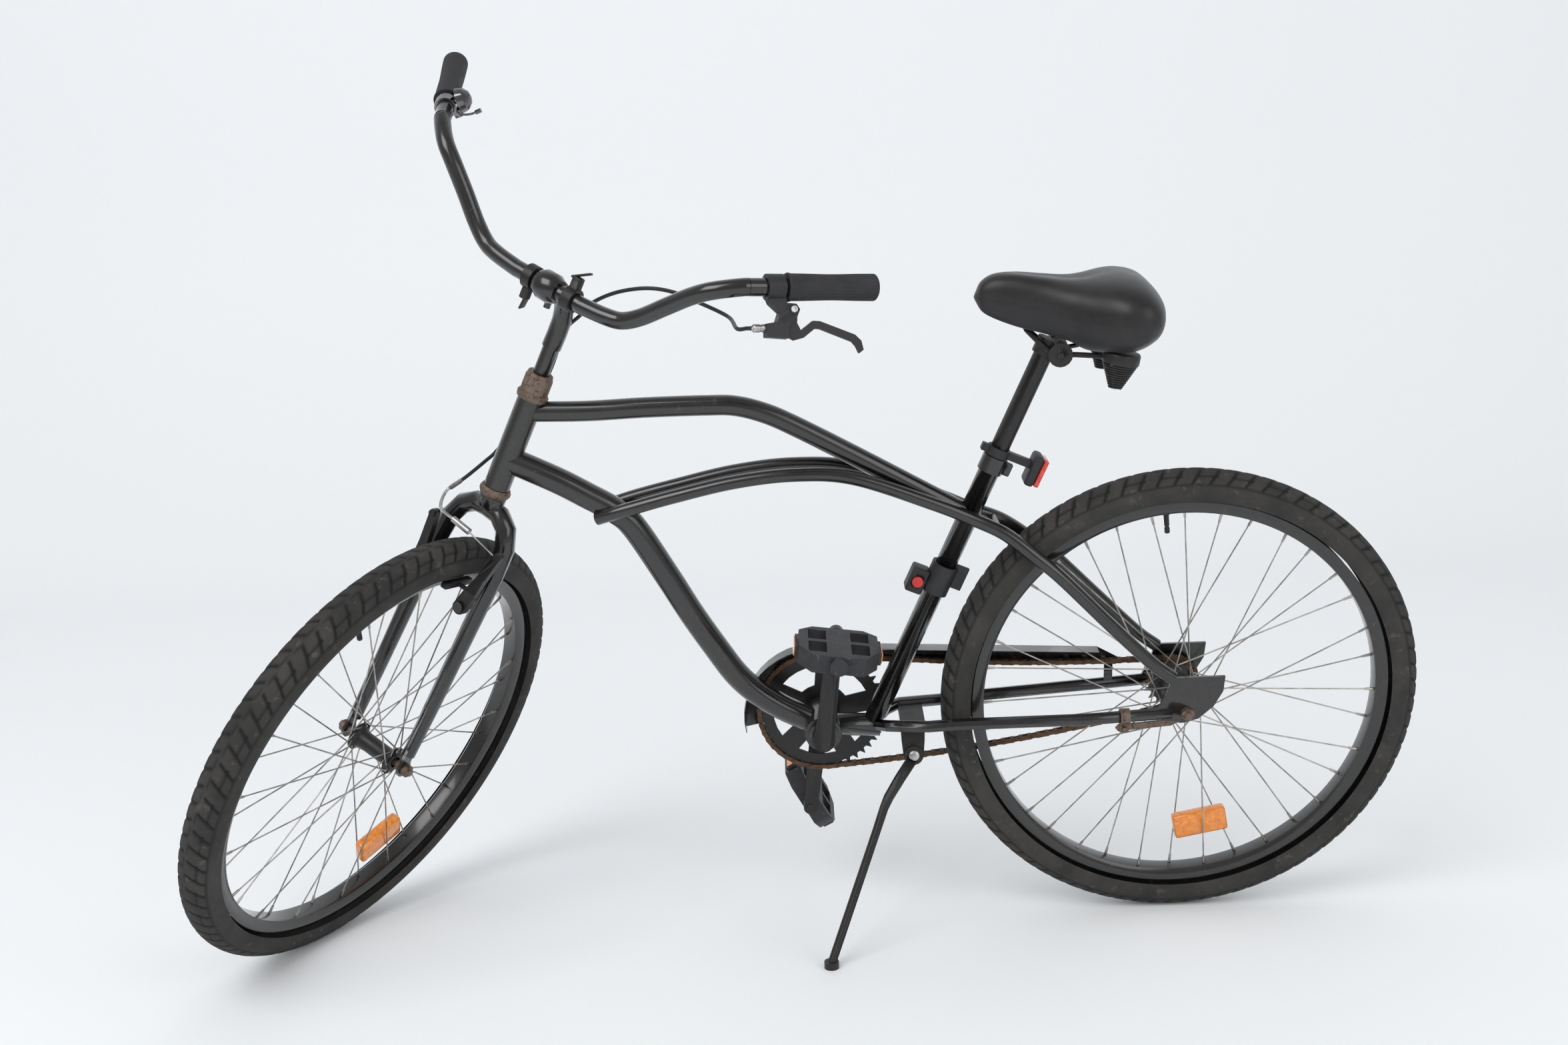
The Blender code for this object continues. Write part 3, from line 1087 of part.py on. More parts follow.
def cranks(holder, black):
    """Both crank arms with their pedal pins; the left one carries the spindle."""
    start = BRACKET_HALF_WIDTH + CUP_LIP + GAP
    inner_face = CRANK_PLANE - CRANK_THICKNESS / 2.0
    for label, side, angle in (("left", 1.0, CRANK_ANGLE), ("right", -1.0, CRANK_ANGLE + math.pi)):
        turn = Matrix.Rotation(angle, 4, "Z")
        outline = arc((0.0, 0.0), CRANK_WIDTH / 2.0 + 0.003, math.radians(90.0), math.radians(270.0), 9)
        outline += arc((CRANK_LENGTH, 0.0), CRANK_WIDTH / 2.0, math.radians(-90.0), math.radians(90.0), 9)
        arm = plate(outline, CRANK_THICKNESS, turn @ Matrix.Translation((0.0, 0.0, side * CRANK_PLANE)))
        boss = rod((0.0, 0.0, side * start), (0.0, 0.0, side * (inner_face + 0.002)), CRANK_BOSS_RADIUS, ROUND_SIDES)
        eye = turn @ Vector((CRANK_LENGTH, 0.0, 0.0))
        pin_end = PEDAL_START + PEDAL_WIDTH - 0.010
        pin = rod((eye.x, eye.y, side * (inner_face - 0.001)), (eye.x, eye.y, side * pin_end), PEDAL_PIN_RADIUS, SMALL_SIDES)
        collar = rod((eye.x, eye.y, side * CRANK_PLANE), (eye.x, eye.y, side * (PEDAL_START - GAP)), 0.0085, SMALL_SIDES)
        solid = join(arm, boss, pin, collar)
        if side > 0.0:
            spindle = rod((0.0, 0.0, CRANK_PLANE), (0.0, 0.0, -CRANK_PLANE), SPINDLE_RADIUS, ROUND_SIDES)
            solid = join(solid, spindle)
        else:
            solid = cut(solid, rod((0.0, 0.0, 0.0), (0.0, 0.0, -CRANK_PLANE - GAP), SPINDLE_RADIUS + GAP, ROUND_SIDES))
        finish(solid, "crank_" + label, holder, black)


def pedal(label, holder, black):
    """Moulded pedal body around its bore; the holder's Z runs outwards from the crank."""
    half = PEDAL_LENGTH / 2.0
    wide = PEDAL_WIDTH
    outline = [(-0.034, 0.002), (-half, 0.016), (-half, wide - 0.030), (-0.034, wide - 0.004), (0.034, wide - 0.004),
               (half, wide - 0.030), (half, 0.016), (0.034, 0.002)]
    body = plate(outline, PEDAL_HEIGHT, SIDE_VIEW)
    sleeve = rod((0.0, 0.0, 0.0), (0.0, 0.0, wide + 0.004), PEDAL_SLEEVE_RADIUS, ROUND_SIDES)
    ends, windows = [], []
    for side in (-1.0, 1.0):
        place = Matrix.Translation((side * (half + 0.001), 0.0, wide / 2.0 - 0.007))
        ends.append(block((0.007, 0.016, 0.042), place))
        for low, high in ((0.012, 0.042), (0.050, wide - 0.016)):
            place = Matrix.Translation((side * 0.028, 0.0, (low + high) / 2.0))
            windows.append(block((0.024, 2.0 * PEDAL_HEIGHT, high - low), place))
    bore = rod((0.0, 0.0, -0.01), (0.0, 0.0, wide - 0.008), PEDAL_PIN_RADIUS + GAP, SMALL_SIDES)
    finish(cut(join(body, sleeve, *ends), bore, *windows), "pedal_" + label, holder, black)


def sprocket(holder, rust):
    """Rear sprocket on its driver; the holder's Z runs to the right."""
    inner = REAR_FLANGE_HALF_SPACING + HUB_CAP + GAP
    outer = REAR_SPACING - GAP - CONE_LENGTH - GAP
    shell = rod((0.0, 0.0, inner), (0.0, 0.0, outer), 0.0170, ROUND_SIDES)
    driver = cut(shell, rod((0.0, 0.0, 0.0), (0.0, 0.0, 0.06), AXLE_RADIUS + GAP, ROUND_SIDES))
    ring = plate(gear_outline(SPROCKET_TEETH, SPROCKET_PITCH_RADIUS), TOOTH_THICKNESS,
                 Matrix.Translation((0.0, 0.0, CHAIN_LINE)), (circle((0.0, 0.0), 0.0100, SMALL_SIDES),))
    finish(join(ring, driver), "rear_sprocket", holder, rust)


def chain_guard(frame, black):
    """Sheet guard around the chainring and over the upper chain run, with its two brackets."""
    centre = GUARD_CENTRE
    tip, crest = math.radians(192.0), math.radians(86.0)
    top = arc(centre, GUARD_RADIUS, tip, crest, 13) + [(-0.410, 0.0700), (-0.105, 0.0540), (-0.070, 0.0340)]
    low = [(-0.078, 0.0260), (-0.400, 0.0420)] + arc(centre, GUARD_RADIUS - GUARD_WALL_DEPTH, crest, tip, 11)
    wall = side_plate(top + low, GUARD_SHEET, GUARD_PLANE)
    shelf = top[:-1]
    band = shelf + offset_line(shelf, GUARD_SHEET, False)[::-1]
    outer_face = GUARD_PLANE + GUARD_SHEET / 2.0
    web = side_plate(band, GUARD_WEB, outer_face - GUARD_WEB / 2.0)
    rear_place = Matrix.Translation((-0.088, GUARD_PLANE + 0.0016, 0.0160))
    rear = block((0.012, 0.0030, 0.034), rear_place)
    inner_edge = outer_face - GUARD_WEB
    tab = block((0.016, inner_edge + 0.004, 0.0030),
                Matrix.Translation((-0.3835, (inner_edge + 0.004) / 2.0, 0.0674)))
    stay = tube(chain_stay_points(1.0), CHAIN_STAY_RADIUS + GAP, steps=1)
    solid = cut(join(wall, web, rear, tab), stay, seat_tube_space(0.05, 0.16))
    finish(largest(solid), "chain_guard", frame, black)


def coaster_arm(frame, rust):
    """Brake reaction arm from the rear axle to a clip on the left chain stay."""
    y = -(REAR_SPACING - GAP - COASTER_ARM_THICKNESS / 2.0)
    outline = arc((0.0, 0.0), 0.0150, math.radians(-110.0), math.radians(190.0), 14)
    outline += [(-0.0200, -0.0125), (-0.0920, -0.0178), (-0.0960, -0.0225), (-0.0920, -0.0275), (-0.0200, -0.0215)]
    hole = circle((0.0, 0.0), CONE_RADIUS + GAP, ROUND_SIDES)
    arm = side_plate(outline, COASTER_ARM_THICKNESS, y, (hole,))
    stay = Vector((COASTER_CLIP_X, -0.0556, -0.0049))
    ring = rod(stay - X_AXIS * 0.0065, stay + X_AXIS * 0.0065, CHAIN_STAY_RADIUS + 0.0028, ROUND_SIDES)
    tail = block((0.013, 0.0060, 0.0160), Matrix.Translation((COASTER_CLIP_X, y, -0.0200)))
    bolt = rod((COASTER_CLIP_X, y - 0.0070, -0.0230), (COASTER_CLIP_X, y + 0.0060, -0.0230), 0.0035, SMALL_SIDES)
    bore = tube(chain_stay_points(-1.0), CHAIN_STAY_RADIUS + GAP, steps=1)
    finish(join(cut(join(ring, tail), bore), arm, bolt), "coaster_arm", frame, rust)


def stand_axes():
    """Axes of the kickstand: Z out along its pivot, origin on the bracket's outer face."""
    return frame_on(STAND_PIVOT, STAND_AXIS, X_AXIS)


def kickstand_bracket(frame, black):
    """Plate between the chain stays with a lug and the pin that carries the leg."""
    axes = stand_axes()
    outline = arc((0.0, 0.0), 0.0140, math.radians(180.0), math.radians(360.0), 10)
    outline += [(0.0160, 0.020), (0.0170, LUG_HEIGHT), (-0.0170, LUG_HEIGHT), (-0.0160, 0.020)]
    lug = plate(outline, LUG_THICKNESS, axes @ Matrix.Translation((0.0, 0.0, -LUG_THICKNESS / 2.0 - GAP)))
    cross = block((0.034, 0.084, 0.0060), Matrix.Translation((STAND_PIVOT.x, 0.0, -0.0190)))
    cross = cut(cross, *stay_tubes(chain_stay_points, CHAIN_STAY_RADIUS + GAP))
    face = STAND_EYE_THICKNESS + GAP
    pin = rod(axes @ Vector((0.0, 0.0, -LUG_THICKNESS)), axes @ Vector((0.0, 0.0, face + 0.001)), STAND_PIN_RADIUS, SMALL_SIDES)
    head = rod(axes @ Vector((0.0, 0.0, face)), axes @ Vector((0.0, 0.0, face + 0.0016)), 0.0070, SMALL_SIDES)
    finish(join(largest(cross), lug, pin, head), "kickstand_bracket", frame, black)


def kickstand(holder, black):
    """Leg with its eye on the pin and a flat foot on the floor."""
    axes = stand_axes()
    start = axes @ Vector((0.0, 0.0, STAND_EYE_THICKNESS / 2.0))
    fall = REAR_AXLE_Z + start.dot(FLOOR_NORMAL) - STAND_FOOT_HEIGHT
    end = start + STAND_LEG * (fall / -STAND_LEG.dot(FLOOR_NORMAL))
    bend = start + STAND_LEG * 0.062 - X_AXIS * 0.0120
    leg = tube([start + STAND_LEG * 0.006, bend, start + STAND_LEG * 0.110 - X_AXIS * 0.0105, end], STAND_LEG_RADIUS, TINY_SIDES,
               (1.25, 1.2, 1.0, 0.95, 0.95))
    eye = rod(axes @ Vector((0.0, 0.0, 0.0)), axes @ Vector((0.0, 0.0, STAND_EYE_THICKNESS)), STAND_EYE_RADIUS, ROUND_SIDES)
    foot = rod(end - FLOOR_NORMAL * STAND_FOOT_HEIGHT, end + FLOOR_NORMAL * 0.004, STAND_FOOT_RADIUS, SMALL_SIDES)
    hole = rod(axes @ Vector((0.0, 0.0, -0.02)), axes @ Vector((0.0, 0.0, 0.02)), STAND_PIN_RADIUS + GAP, SMALL_SIDES)
    inside = rod(axes @ Vector((0.0, 0.0, -0.02)), axes @ Vector((0.0, 0.0, 0.0)), 0.03, ROUND_SIDES)
    head = rod(axes @ Vector((0.0, 0.0, STAND_EYE_THICKNESS)), axes @ Vector((0.0, 0.0, 0.02)), 0.0090, ROUND_SIDES)
    solid = largest(cut(join(eye, leg, foot), hole, inside, head))
    finish(solid, "kickstand", holder, black, axes)


def seat_post(holder, black):
    """Seat post whose round head carries the saddle clamp."""
    post = rod(seat_point(SEAT_TUBE_LENGTH - POST_INSERTION), seat_point(POST_TOP - 0.001), POST_RADIUS, ROUND_SIDES)
    ring = rod(seat_point(POST_TOP - POST_RING_HEIGHT), seat_point(POST_TOP), POST_RING_RADIUS, ROUND_SIDES)
    core = rod(SADDLE_PIVOT - Y_AXIS * CORE_HALF_WIDTH, SADDLE_PIVOT + Y_AXIS * CORE_HALF_WIDTH, CORE_RADIUS, ROUND_SIDES)
    hole = rod(SADDLE_PIVOT - Y_AXIS * 0.03, SADDLE_PIVOT + Y_AXIS * 0.03, CLAMP_BOLT_RADIUS + GAP, SMALL_SIDES)
    finish(cut(join(post, ring, core), hole), "seat_post", holder, black)


def tail_light(holder, black, red):
    """Rear light on a ring around the post, with its lens to the rear."""
    level = SEAT_TUBE_LENGTH + LIGHT_RING_MIDDLE
    low, high = seat_point(level - LIGHT_RING_HEIGHT / 2.0), seat_point(level + LIGHT_RING_HEIGHT / 2.0)
    ring = rod(low, high, POST_RADIUS + 0.0035, ROUND_SIDES)
    axes = frame_on(seat_point(level) + LIGHT_OFFSET, SEAT_AXIS, X_AXIS)
    housing = block(LIGHT_SIZE, axes, 0.004)
    arm_place = seat_point(level) + SEAT_SIDE * 0.030
    arm = block((0.036, 0.014, 0.010), frame_on(arm_place, SEAT_AXIS, X_AXIS), 0.001)
    lug_place = seat_point(level) - SEAT_SIDE * (POST_RADIUS + 0.006)
    lug = block((0.0100, 0.0120, 0.0100), frame_on(lug_place, SEAT_AXIS, X_AXIS), 0.001)
    bore = rod(seat_point(SEAT_TUBE_LENGTH - 0.02), seat_point(SEAT_TUBE_LENGTH + 0.04), POST_RADIUS + GAP, ROUND_SIDES)
    finish(cut(join(ring, housing, arm, lug), bore), "tail_light", holder, black)
    forward = (LIGHT_SIZE[0] + LENS_SIZE[0]) / 2.0 + GAP
    lens = block(LENS_SIZE, axes @ Matrix.Translation((forward, 0.0, 0.0)), 0.002)
    finish(lens, "tail_light_lens", holder, red)


def spring_solid(side, grown, steps):
    """Outer shape of a conical spring and the cup above it, grown by a clearance."""
    cone = SPRING_HEIGHT - SPRING_CUP_HEIGHT
    profile = [(0.0, SPRING_HEIGHT), (SPRING_TOP_RADIUS - 0.003, SPRING_HEIGHT), (SPRING_TOP_RADIUS, cone + 0.002)]
    for i in range(SPRING_TURNS):
        for share, dip in ((0.15, 0.0), (0.85, 0.0), (1.0, 0.002)):
            z = cone * (1.0 - (i + share) / SPRING_TURNS)
            radius = SPRING_TIP_RADIUS + (SPRING_TOP_RADIUS - SPRING_TIP_RADIUS) * z / cone
            profile.append((radius - dip, z))
    profile.append((0.0, 0.0))
    profile = [(r + grown if r > 0.0 else 0.0, z) for r, z in profile]
    place = Matrix.Translation((SPRING_X, side * SPRING_HALF_SPACING, SPRING_FOOT))
    return turned(profile, place @ Matrix.Rotation(SPRING_TILT, 4, "Y"), steps, loop=False)


def saddle_rails(holder, steel):
    """Both rails with the clamp discs and the bolt between them; they end at the springs' cups."""
    pieces = []
    for side in (-1.0, 1.0):
        path = [(RAIL_NOSE.x, side * RAIL_NOSE.y, RAIL_NOSE.z), (-0.0280, side * 0.0160, 0.0170),
                (-0.0120, side * RAIL_HALF_SPACING, 0.0030), (0.0, side * RAIL_HALF_SPACING, 0.0),
                (0.0200, side * 0.0220, -0.0010), (0.0400, side * 0.0330, 0.0),
                (0.0700, side * SPRING_HALF_SPACING, 0.0010)]
        rail = cut(tube(path, RAIL_RADIUS, 6), spring_solid(side, GAP, TUBE_SIDES))
        pieces.append(largest(rail))
        pieces.append(rod((0.0, side * (CORE_HALF_WIDTH + GAP), 0.0), (0.0, side * CLAMP_DISC_FACE, 0.0),
                          CLAMP_DISC_RADIUS, ROUND_SIDES))
    pieces.append(rod((RAIL_NOSE.x, -RAIL_NOSE.y, RAIL_NOSE.z), RAIL_NOSE, RAIL_RADIUS, TINY_SIDES))
    bolt_half = CLAMP_DISC_FACE + 0.003
    pieces.append(rod(Y_AXIS * -bolt_half, Y_AXIS * bolt_half, CLAMP_BOLT_RADIUS, SMALL_SIDES))
    finish(join(pieces[0], *pieces[1:]), "saddle_rails", holder, steel)


def saddle_springs(holder, black):
    """Two conical springs, each with the cup that holds it under the saddle."""
    for label, side in (("left", -1.0), ("right", 1.0)):
        finish(spring_solid(side, 0.0, TUBE_SIDES), "saddle_spring_" + label, holder, black)


def saddle(holder, vinyl):
    """Saddle lofted through sections: place along the frame, half width, top and underside."""
    cup_edge = SPRING_HEIGHT * math.cos(SPRING_TILT) + SPRING_TOP_RADIUS * math.sin(SPRING_TILT)
    base = SPRING_FOOT + cup_edge + GAP
    sections = [
        (-0.1065, 0.0080, 0.0810, 0.0680), (-0.0990, 0.0170, 0.0945, 0.0570), (-0.0820, 0.0240, 0.1035, 0.0480),
        (-0.0540, 0.0310, 0.1055, 0.0380), (-0.0220, 0.0400, 0.1015, 0.0300), (0.0080, 0.0550, 0.0975, 0.0220),
        (0.0300, 0.0720, 0.0975, base), (0.0620, 0.0940, 0.1015, base), (0.0840, 0.1010, 0.1010, base + 0.001),
        (0.1040, 0.0980, 0.0950, base + 0.008), (0.1190, 0.0840, 0.0820, base + 0.018),
        (0.1270, 0.0530, 0.0690, base + 0.034),
    ]
    sides = 16
    verts, faces = [], []
    for x, half, top, low in sections:
        middle = low + (top - low) * 0.35
        for k in range(sides):
            angle = 2.0 * math.pi * k / sides
            across, rise = math.cos(angle), math.sin(angle)
            y = half * math.copysign(abs(across) ** 0.8, across)
            lift = rise ** 0.7 if rise > 0.0 else max(-1.0, 1.42 * rise)
            verts.append((x, y, middle + lift * ((top - middle) if lift > 0.0 else (middle - low))))
    for i in range(len(sections) - 1):
        for k in range(sides):
            a, b = i * sides + k, i * sides + (k + 1) % sides
            faces.append((a, b, b + sides, a + sides))
    faces.append(tuple(reversed(range(sides))))
    faces.append(tuple(range((len(sections) - 1) * sides, len(sections) * sides)))
    mesh = bpy.data.meshes.new("saddle_loft")
    mesh.from_pydata(verts, [], faces)
    thing = bpy.data.objects.new("saddle_loft", mesh)
    parts.objects.link(thing)
    finish(thing, "saddle", holder, vinyl)


def lock_box_axes():
    """Axes of the clip's box, in front of the seat tube."""
    return frame_on(seat_point(LOCK_HEIGHT) + LOCK_BOX_OFFSET, SEAT_AXIS, X_AXIS)


def button_axes():
    """Axes of the button: Z into the box, origin on the box's left face."""
    face = lock_box_axes() @ Vector((0.0, -LOCK_BOX_SIZE[1] / 2.0, 0.0))
    return frame_on(face, Y_AXIS, X_AXIS)


def lock_bracket(frame, holder, black, red):
    """Empty clip clamped on the seat tube, with its red release button."""
    sleeve = rod(seat_point(LOCK_HEIGHT - 0.021), seat_point(LOCK_HEIGHT + 0.021), SEAT_TUBE_RADIUS + 0.0045, ROUND_SIDES)
    box = block(LOCK_BOX_SIZE, lock_box_axes(), 0.003)
    flange_place = frame_on(seat_point(LOCK_HEIGHT) + X_AXIS * 0.0230, SEAT_AXIS, X_AXIS)
    flange = block((0.0240, 0.0060, 0.0340), flange_place, 0.001)
    bore = seat_tube_space(LOCK_HEIGHT - 0.05, LOCK_HEIGHT + 0.05)
    axes = button_axes()
    pocket = rod(axes @ Vector((0.0, 0.0, -0.01)), axes @ Vector((0.0, 0.0, BUTTON_POCKET)), BUTTON_RADIUS + GAP, ROUND_SIDES)
    finish(cut(join(sleeve, box, flange), bore, pocket), "lock_bracket", frame, black)
    button = rod((0.0, 0.0, -BUTTON_LENGTH / 2.0), (0.0, 0.0, BUTTON_LENGTH / 2.0), BUTTON_RADIUS, ROUND_SIDES)
    finish(button, "lock_button", holder, red)


def steering_axes():
    """Steering axes in the frame, with the handlebar turned to the left."""
    rake = Matrix.Rotation(math.radians(90.0) - HEAD_ANGLE, 4, "Y")
    return Matrix.Translation(HEAD_FOOT) @ rake @ Matrix.Rotation(STEER, 4, "Z")


def lowest_angle(axes):
    """Angle about a wheel's own Z, in frame axes, at which the wheel meets the floor."""
    down = axes.to_3x3().inverted() @ -FLOOR_NORMAL
    return math.atan2(down.y, down.x)


def build_wheels(fork, frame, axle, shades):
    """Both wheels with their tyres, rims, hubs, reflectors and axles."""
    black, rubber, steel, rust, amber = shades
    across = Matrix.Rotation(math.radians(-90.0), 4, "X")
    front_axes = Matrix.Translation(axle) @ across
    front = empty("front_wheel_axes", fork, front_axes)
    phase = lowest_angle(steering_axes() @ front_axes)
    tyre("front_tyre", front, rubber, phase)
    rim("front_rim", front, black, phase, FRONT_VALVE_ANGLE)
    hub("front_hub", front, FRONT_FLANGE_RADIUS, FRONT_FLANGE_HALF_SPACING, FRONT_BARREL_RADIUS, steel)
    reflector("front_reflector", front, FRONT_REFLECTOR_ANGLE, amber)
    axle_piece("front_axle", fork, FRONT_SPACING, TAB_THICKNESS, front_axes, rust)
    rear = empty("rear_wheel_axes", frame, across)
    phase = lowest_angle(across)
    tyre("rear_tyre", rear, rubber, phase)
    rim("rear_rim", rear, black, phase, REAR_VALVE_ANGLE)
    hub("rear_hub", rear, REAR_FLANGE_RADIUS, REAR_FLANGE_HALF_SPACING, REAR_BARREL_RADIUS, steel)
    reflector("rear_reflector", rear, REAR_REFLECTOR_ANGLE, amber)
    axle_piece("rear_axle", frame, REAR_SPACING, PLATE_THICKNESS, across, rust)
    sprocket(empty("sprocket_axes", frame, across), rust)


def build_drive(frame, black, rust):
    """Chainring, cranks and pedals on their own axes, then chain, guard and brake arm."""
    crank = empty("crank_axes", frame, frame_on(BRACKET_CENTRE, -Y_AXIS, X_AXIS))
    chainring(crank, black)
    cranks(crank, black)
    for label, side, angle, turn in (("left", 1.0, CRANK_ANGLE, LEFT_PEDAL_TURN),
                                     ("right", -1.0, CRANK_ANGLE + math.pi, RIGHT_PEDAL_TURN)):
        eye = on_circle((0.0, 0.0), CRANK_LENGTH, angle)
        place = Matrix.Translation((*eye, side * PEDAL_START)) @ Matrix.Rotation(turn, 4, "Z")
        if side < 0.0:
            place = place @ Matrix.Rotation(math.pi, 4, "X")
        pedal(label, empty("pedal_axes_" + label, crank, place), black)
    chain(frame, rust)
    chain_guard(frame, black)
    coaster_arm(frame, rust)


def build_bicycle():
    """Every group on its own axes, from the frame outwards."""
    paint = material("black_paint", (0.012, 0.011, 0.010), 0.0, 0.30)
    black = material("black_plastic", (0.020, 0.020, 0.021), 0.0, 0.50)
    rubber = material("tyre_rubber", (0.045, 0.043, 0.040), 0.0, 0.85)
    vinyl = material("saddle_vinyl", (0.018, 0.018, 0.018), 0.0, 0.45)
    steel = material("spoke_steel", (0.45, 0.45, 0.44), 1.0, 0.35)
    rust = material("rusty_steel", (0.16, 0.10, 0.07), 0.8, 0.65)
    silver = material("cast_silver", (0.30, 0.30, 0.30), 0.9, 0.40)
    chrome = material("dark_chrome", (0.20, 0.20, 0.20), 1.0, 0.20)
    amber = material("amber_reflector", (0.75, 0.22, 0.02), 0.0, 0.25)
    red = material("red_lens", (0.45, 0.01, 0.01), 0.0, 0.20)

    lean = Matrix.Rotation(LEAN, 4, "X")
    frame = empty("frame_axes", None, Matrix.Translation((REAR_AXLE_X, REAR_AXLE_Y, REAR_AXLE_Z)) @ lean)
    fork = empty("steering_axes", frame, steering_axes())
    axle = Vector((-FORK_RAKE, 0.0, front_axle_height()))

    main_tubes(frame, paint)
    seat_tube(frame, paint)
    bottom_bracket(frame, paint)
    stays(frame, paint)
    headset(frame, fork, rust, paint)
    fork_piece(fork, axle, paint)
    build_wheels(fork, frame, axle, (black, rubber, steel, rust, amber))
    stem(fork, paint)
    handlebar(fork, paint, rubber)
    accessory_clamps(fork, black)
    brake_lever(fork, empty("brake_lever_axes", fork, lever_holder_axes()), black)
    bell(fork, empty("bell_lever_axes", fork, bell_holder_axes()), chrome)
    for label, sign in (("left", -1.0), ("right", 1.0)):
        brake_arm(label, sign, empty("brake_arm_axes_" + label, fork, brake_arm_axes(sign)), black)
    brake_cable(fork, black, silver)
    build_drive(frame, black, rust)
    kickstand_bracket(frame, black)
    kickstand(empty("kickstand_axes", frame, stand_axes()), black)
    seat_post(frame, black)
    tail_light(frame, black, red)
    saddle_axes = empty("saddle_axes", frame, Matrix.Translation(SADDLE_PIVOT))
    saddle_rails(saddle_axes, steel)
    saddle_springs(saddle_axes, black)
    saddle(saddle_axes, vinyl)
    lock_bracket(frame, empty("button_axes", frame, button_axes()), black, red)


build_bicycle()
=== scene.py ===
"""Studio scene of a black cruiser bicycle, laid out as a Blender add-on and run as a script."""

import json
import math
import bmesh
import bpy
import numpy as np
from bpy.props import FloatProperty, FloatVectorProperty, IntProperty, PointerProperty
from bpy.types import Operator, Panel, PropertyGroup
from mathutils import Matrix, Vector


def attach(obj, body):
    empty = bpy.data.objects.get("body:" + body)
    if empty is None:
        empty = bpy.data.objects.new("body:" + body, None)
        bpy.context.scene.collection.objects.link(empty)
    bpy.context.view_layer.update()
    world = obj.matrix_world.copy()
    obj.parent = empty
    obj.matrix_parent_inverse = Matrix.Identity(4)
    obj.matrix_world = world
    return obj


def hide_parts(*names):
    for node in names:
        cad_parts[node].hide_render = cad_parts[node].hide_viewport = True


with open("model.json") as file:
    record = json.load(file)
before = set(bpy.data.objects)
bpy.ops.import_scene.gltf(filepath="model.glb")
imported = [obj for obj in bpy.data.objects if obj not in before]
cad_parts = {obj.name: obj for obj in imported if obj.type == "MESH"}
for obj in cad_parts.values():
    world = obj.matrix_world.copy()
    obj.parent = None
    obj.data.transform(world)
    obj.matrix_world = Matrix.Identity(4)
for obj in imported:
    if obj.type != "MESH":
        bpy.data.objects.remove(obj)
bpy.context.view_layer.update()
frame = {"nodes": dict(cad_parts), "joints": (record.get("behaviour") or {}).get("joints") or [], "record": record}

bl_info = {
    "name": "Cruiser bicycle",
    "version": (1, 0, 0),
    "blender": (4, 5, 0),
    "location": "3D View > Sidebar > Bicycle",
    "description": "Builds the surfaces and finishes of a cruiser bicycle around its solid parts",
    "category": "Object",
}

JOINTS = {joint["name"]: joint for joint in frame["joints"]}

# Sizes in metres that the solid parts were built to
TYRE_RING, TYRE_SECTION = 0.303, 0.027
RIM_OUTER, RIM_INNER, RIM_WIDTH, RIM_WALL = 0.2876, 0.2708, 0.033, 0.0016
SPOKES, SPOKE_RADIUS, SPOKE_CROSSING = 36, 0.0010, math.radians(60.0)
CHAIN_PITCH, CHAIN_LINE, RING_TEETH, SPROCKET_TEETH = 0.0127, 0.0435, 44, 18
BAR_RADIUS, GRIP_RADIUS, GRIP_LENGTH = 0.0111, 0.0170, 0.1120
BAR_TIP, BAR_END_AXIS = np.array([0.0740, 0.3450, 0.8330]), np.array([0.0610, 0.0510, 0.0250])
SEAT_TUBE_RADIUS, STAY_RADIUS, REAR_SPACING = 0.0143, 0.0093, 0.0550
TOP_TUBE_RADIUS, DOWN_TUBE_RADIUS = 0.0137, 0.0178
WHEELBASE, HEAD_ANGLE = 1.0770, math.radians(65.0)
FRONT_VALVE_ANGLE, REAR_VALVE_ANGLE = math.radians(-122.7), math.radians(-95.6)
SPRING_HEIGHT, SPRING_TOP_RADIUS, SPRING_TIP_RADIUS = 0.0500, 0.0245, 0.0088
SPRING_X, SPRING_HALF_SPACING, SPRING_FOOT = 0.0660, 0.0500, -0.0410
SPRING_TILT = math.radians(10.0)
GAP = 0.0003

# Brake housing in the steering axes: straight out of the adjuster, a loop, down behind the crown
CABLE_RADIUS = 0.0025
CABLE_ROUTE = [
    (-0.04419, -0.27446, 0.74420), (-0.04983, -0.26974, 0.74189), (-0.05827, -0.26210, 0.73808),
    (0.0300, -0.2024, 0.7234), (0.0050, -0.1724, 0.7273), (-0.0100, -0.1379, 0.7260),
    (-0.0200, -0.1068, 0.7158), (-0.0200, -0.0700, 0.6920), (-0.0120, -0.0387, 0.6620),
    (0.0060, -0.0185, 0.6340), (0.0210, 0.0010, 0.6080), (0.0270, 0.0060, 0.5780),
    (0.0300, 0.0065, 0.5450), (0.0300, 0.0110, 0.4980), (0.0275, 0.0220, 0.4500),
    (0.0219, 0.0340, 0.4067), (0.0100, 0.0365, 0.3920), (-0.0199, 0.0370, 0.3705),
    (-0.0480, 0.0360, 0.3575),
]


# ---- geometry ----


def unit(vectors):
    """Vectors divided by their lengths."""
    vectors = np.asarray(vectors, float)
    return vectors / np.linalg.norm(vectors, axis=-1, keepdims=True)


def axes(origin, x, y):
    """4 x 4 matrix whose columns are x, y, their cross product and the origin."""
    out = np.eye(4)
    out[:3, 0], out[:3, 1] = x, y
    out[:3, 2] = np.cross(x, y)
    out[:3, 3] = origin
    return out


def shifted(matrix, offset):
    """The same axes with the origin moved by an offset along them."""
    out = matrix.copy()
    out[:3, 3] = matrix[:3, :3] @ np.asarray(offset, float) + matrix[:3, 3]
    return out


def placed(points, matrix):
    """Points of any array shape (..., 3) taken from a matrix's axes to the world."""
    return np.asarray(points, float) @ matrix[:3, :3].T + matrix[:3, 3]


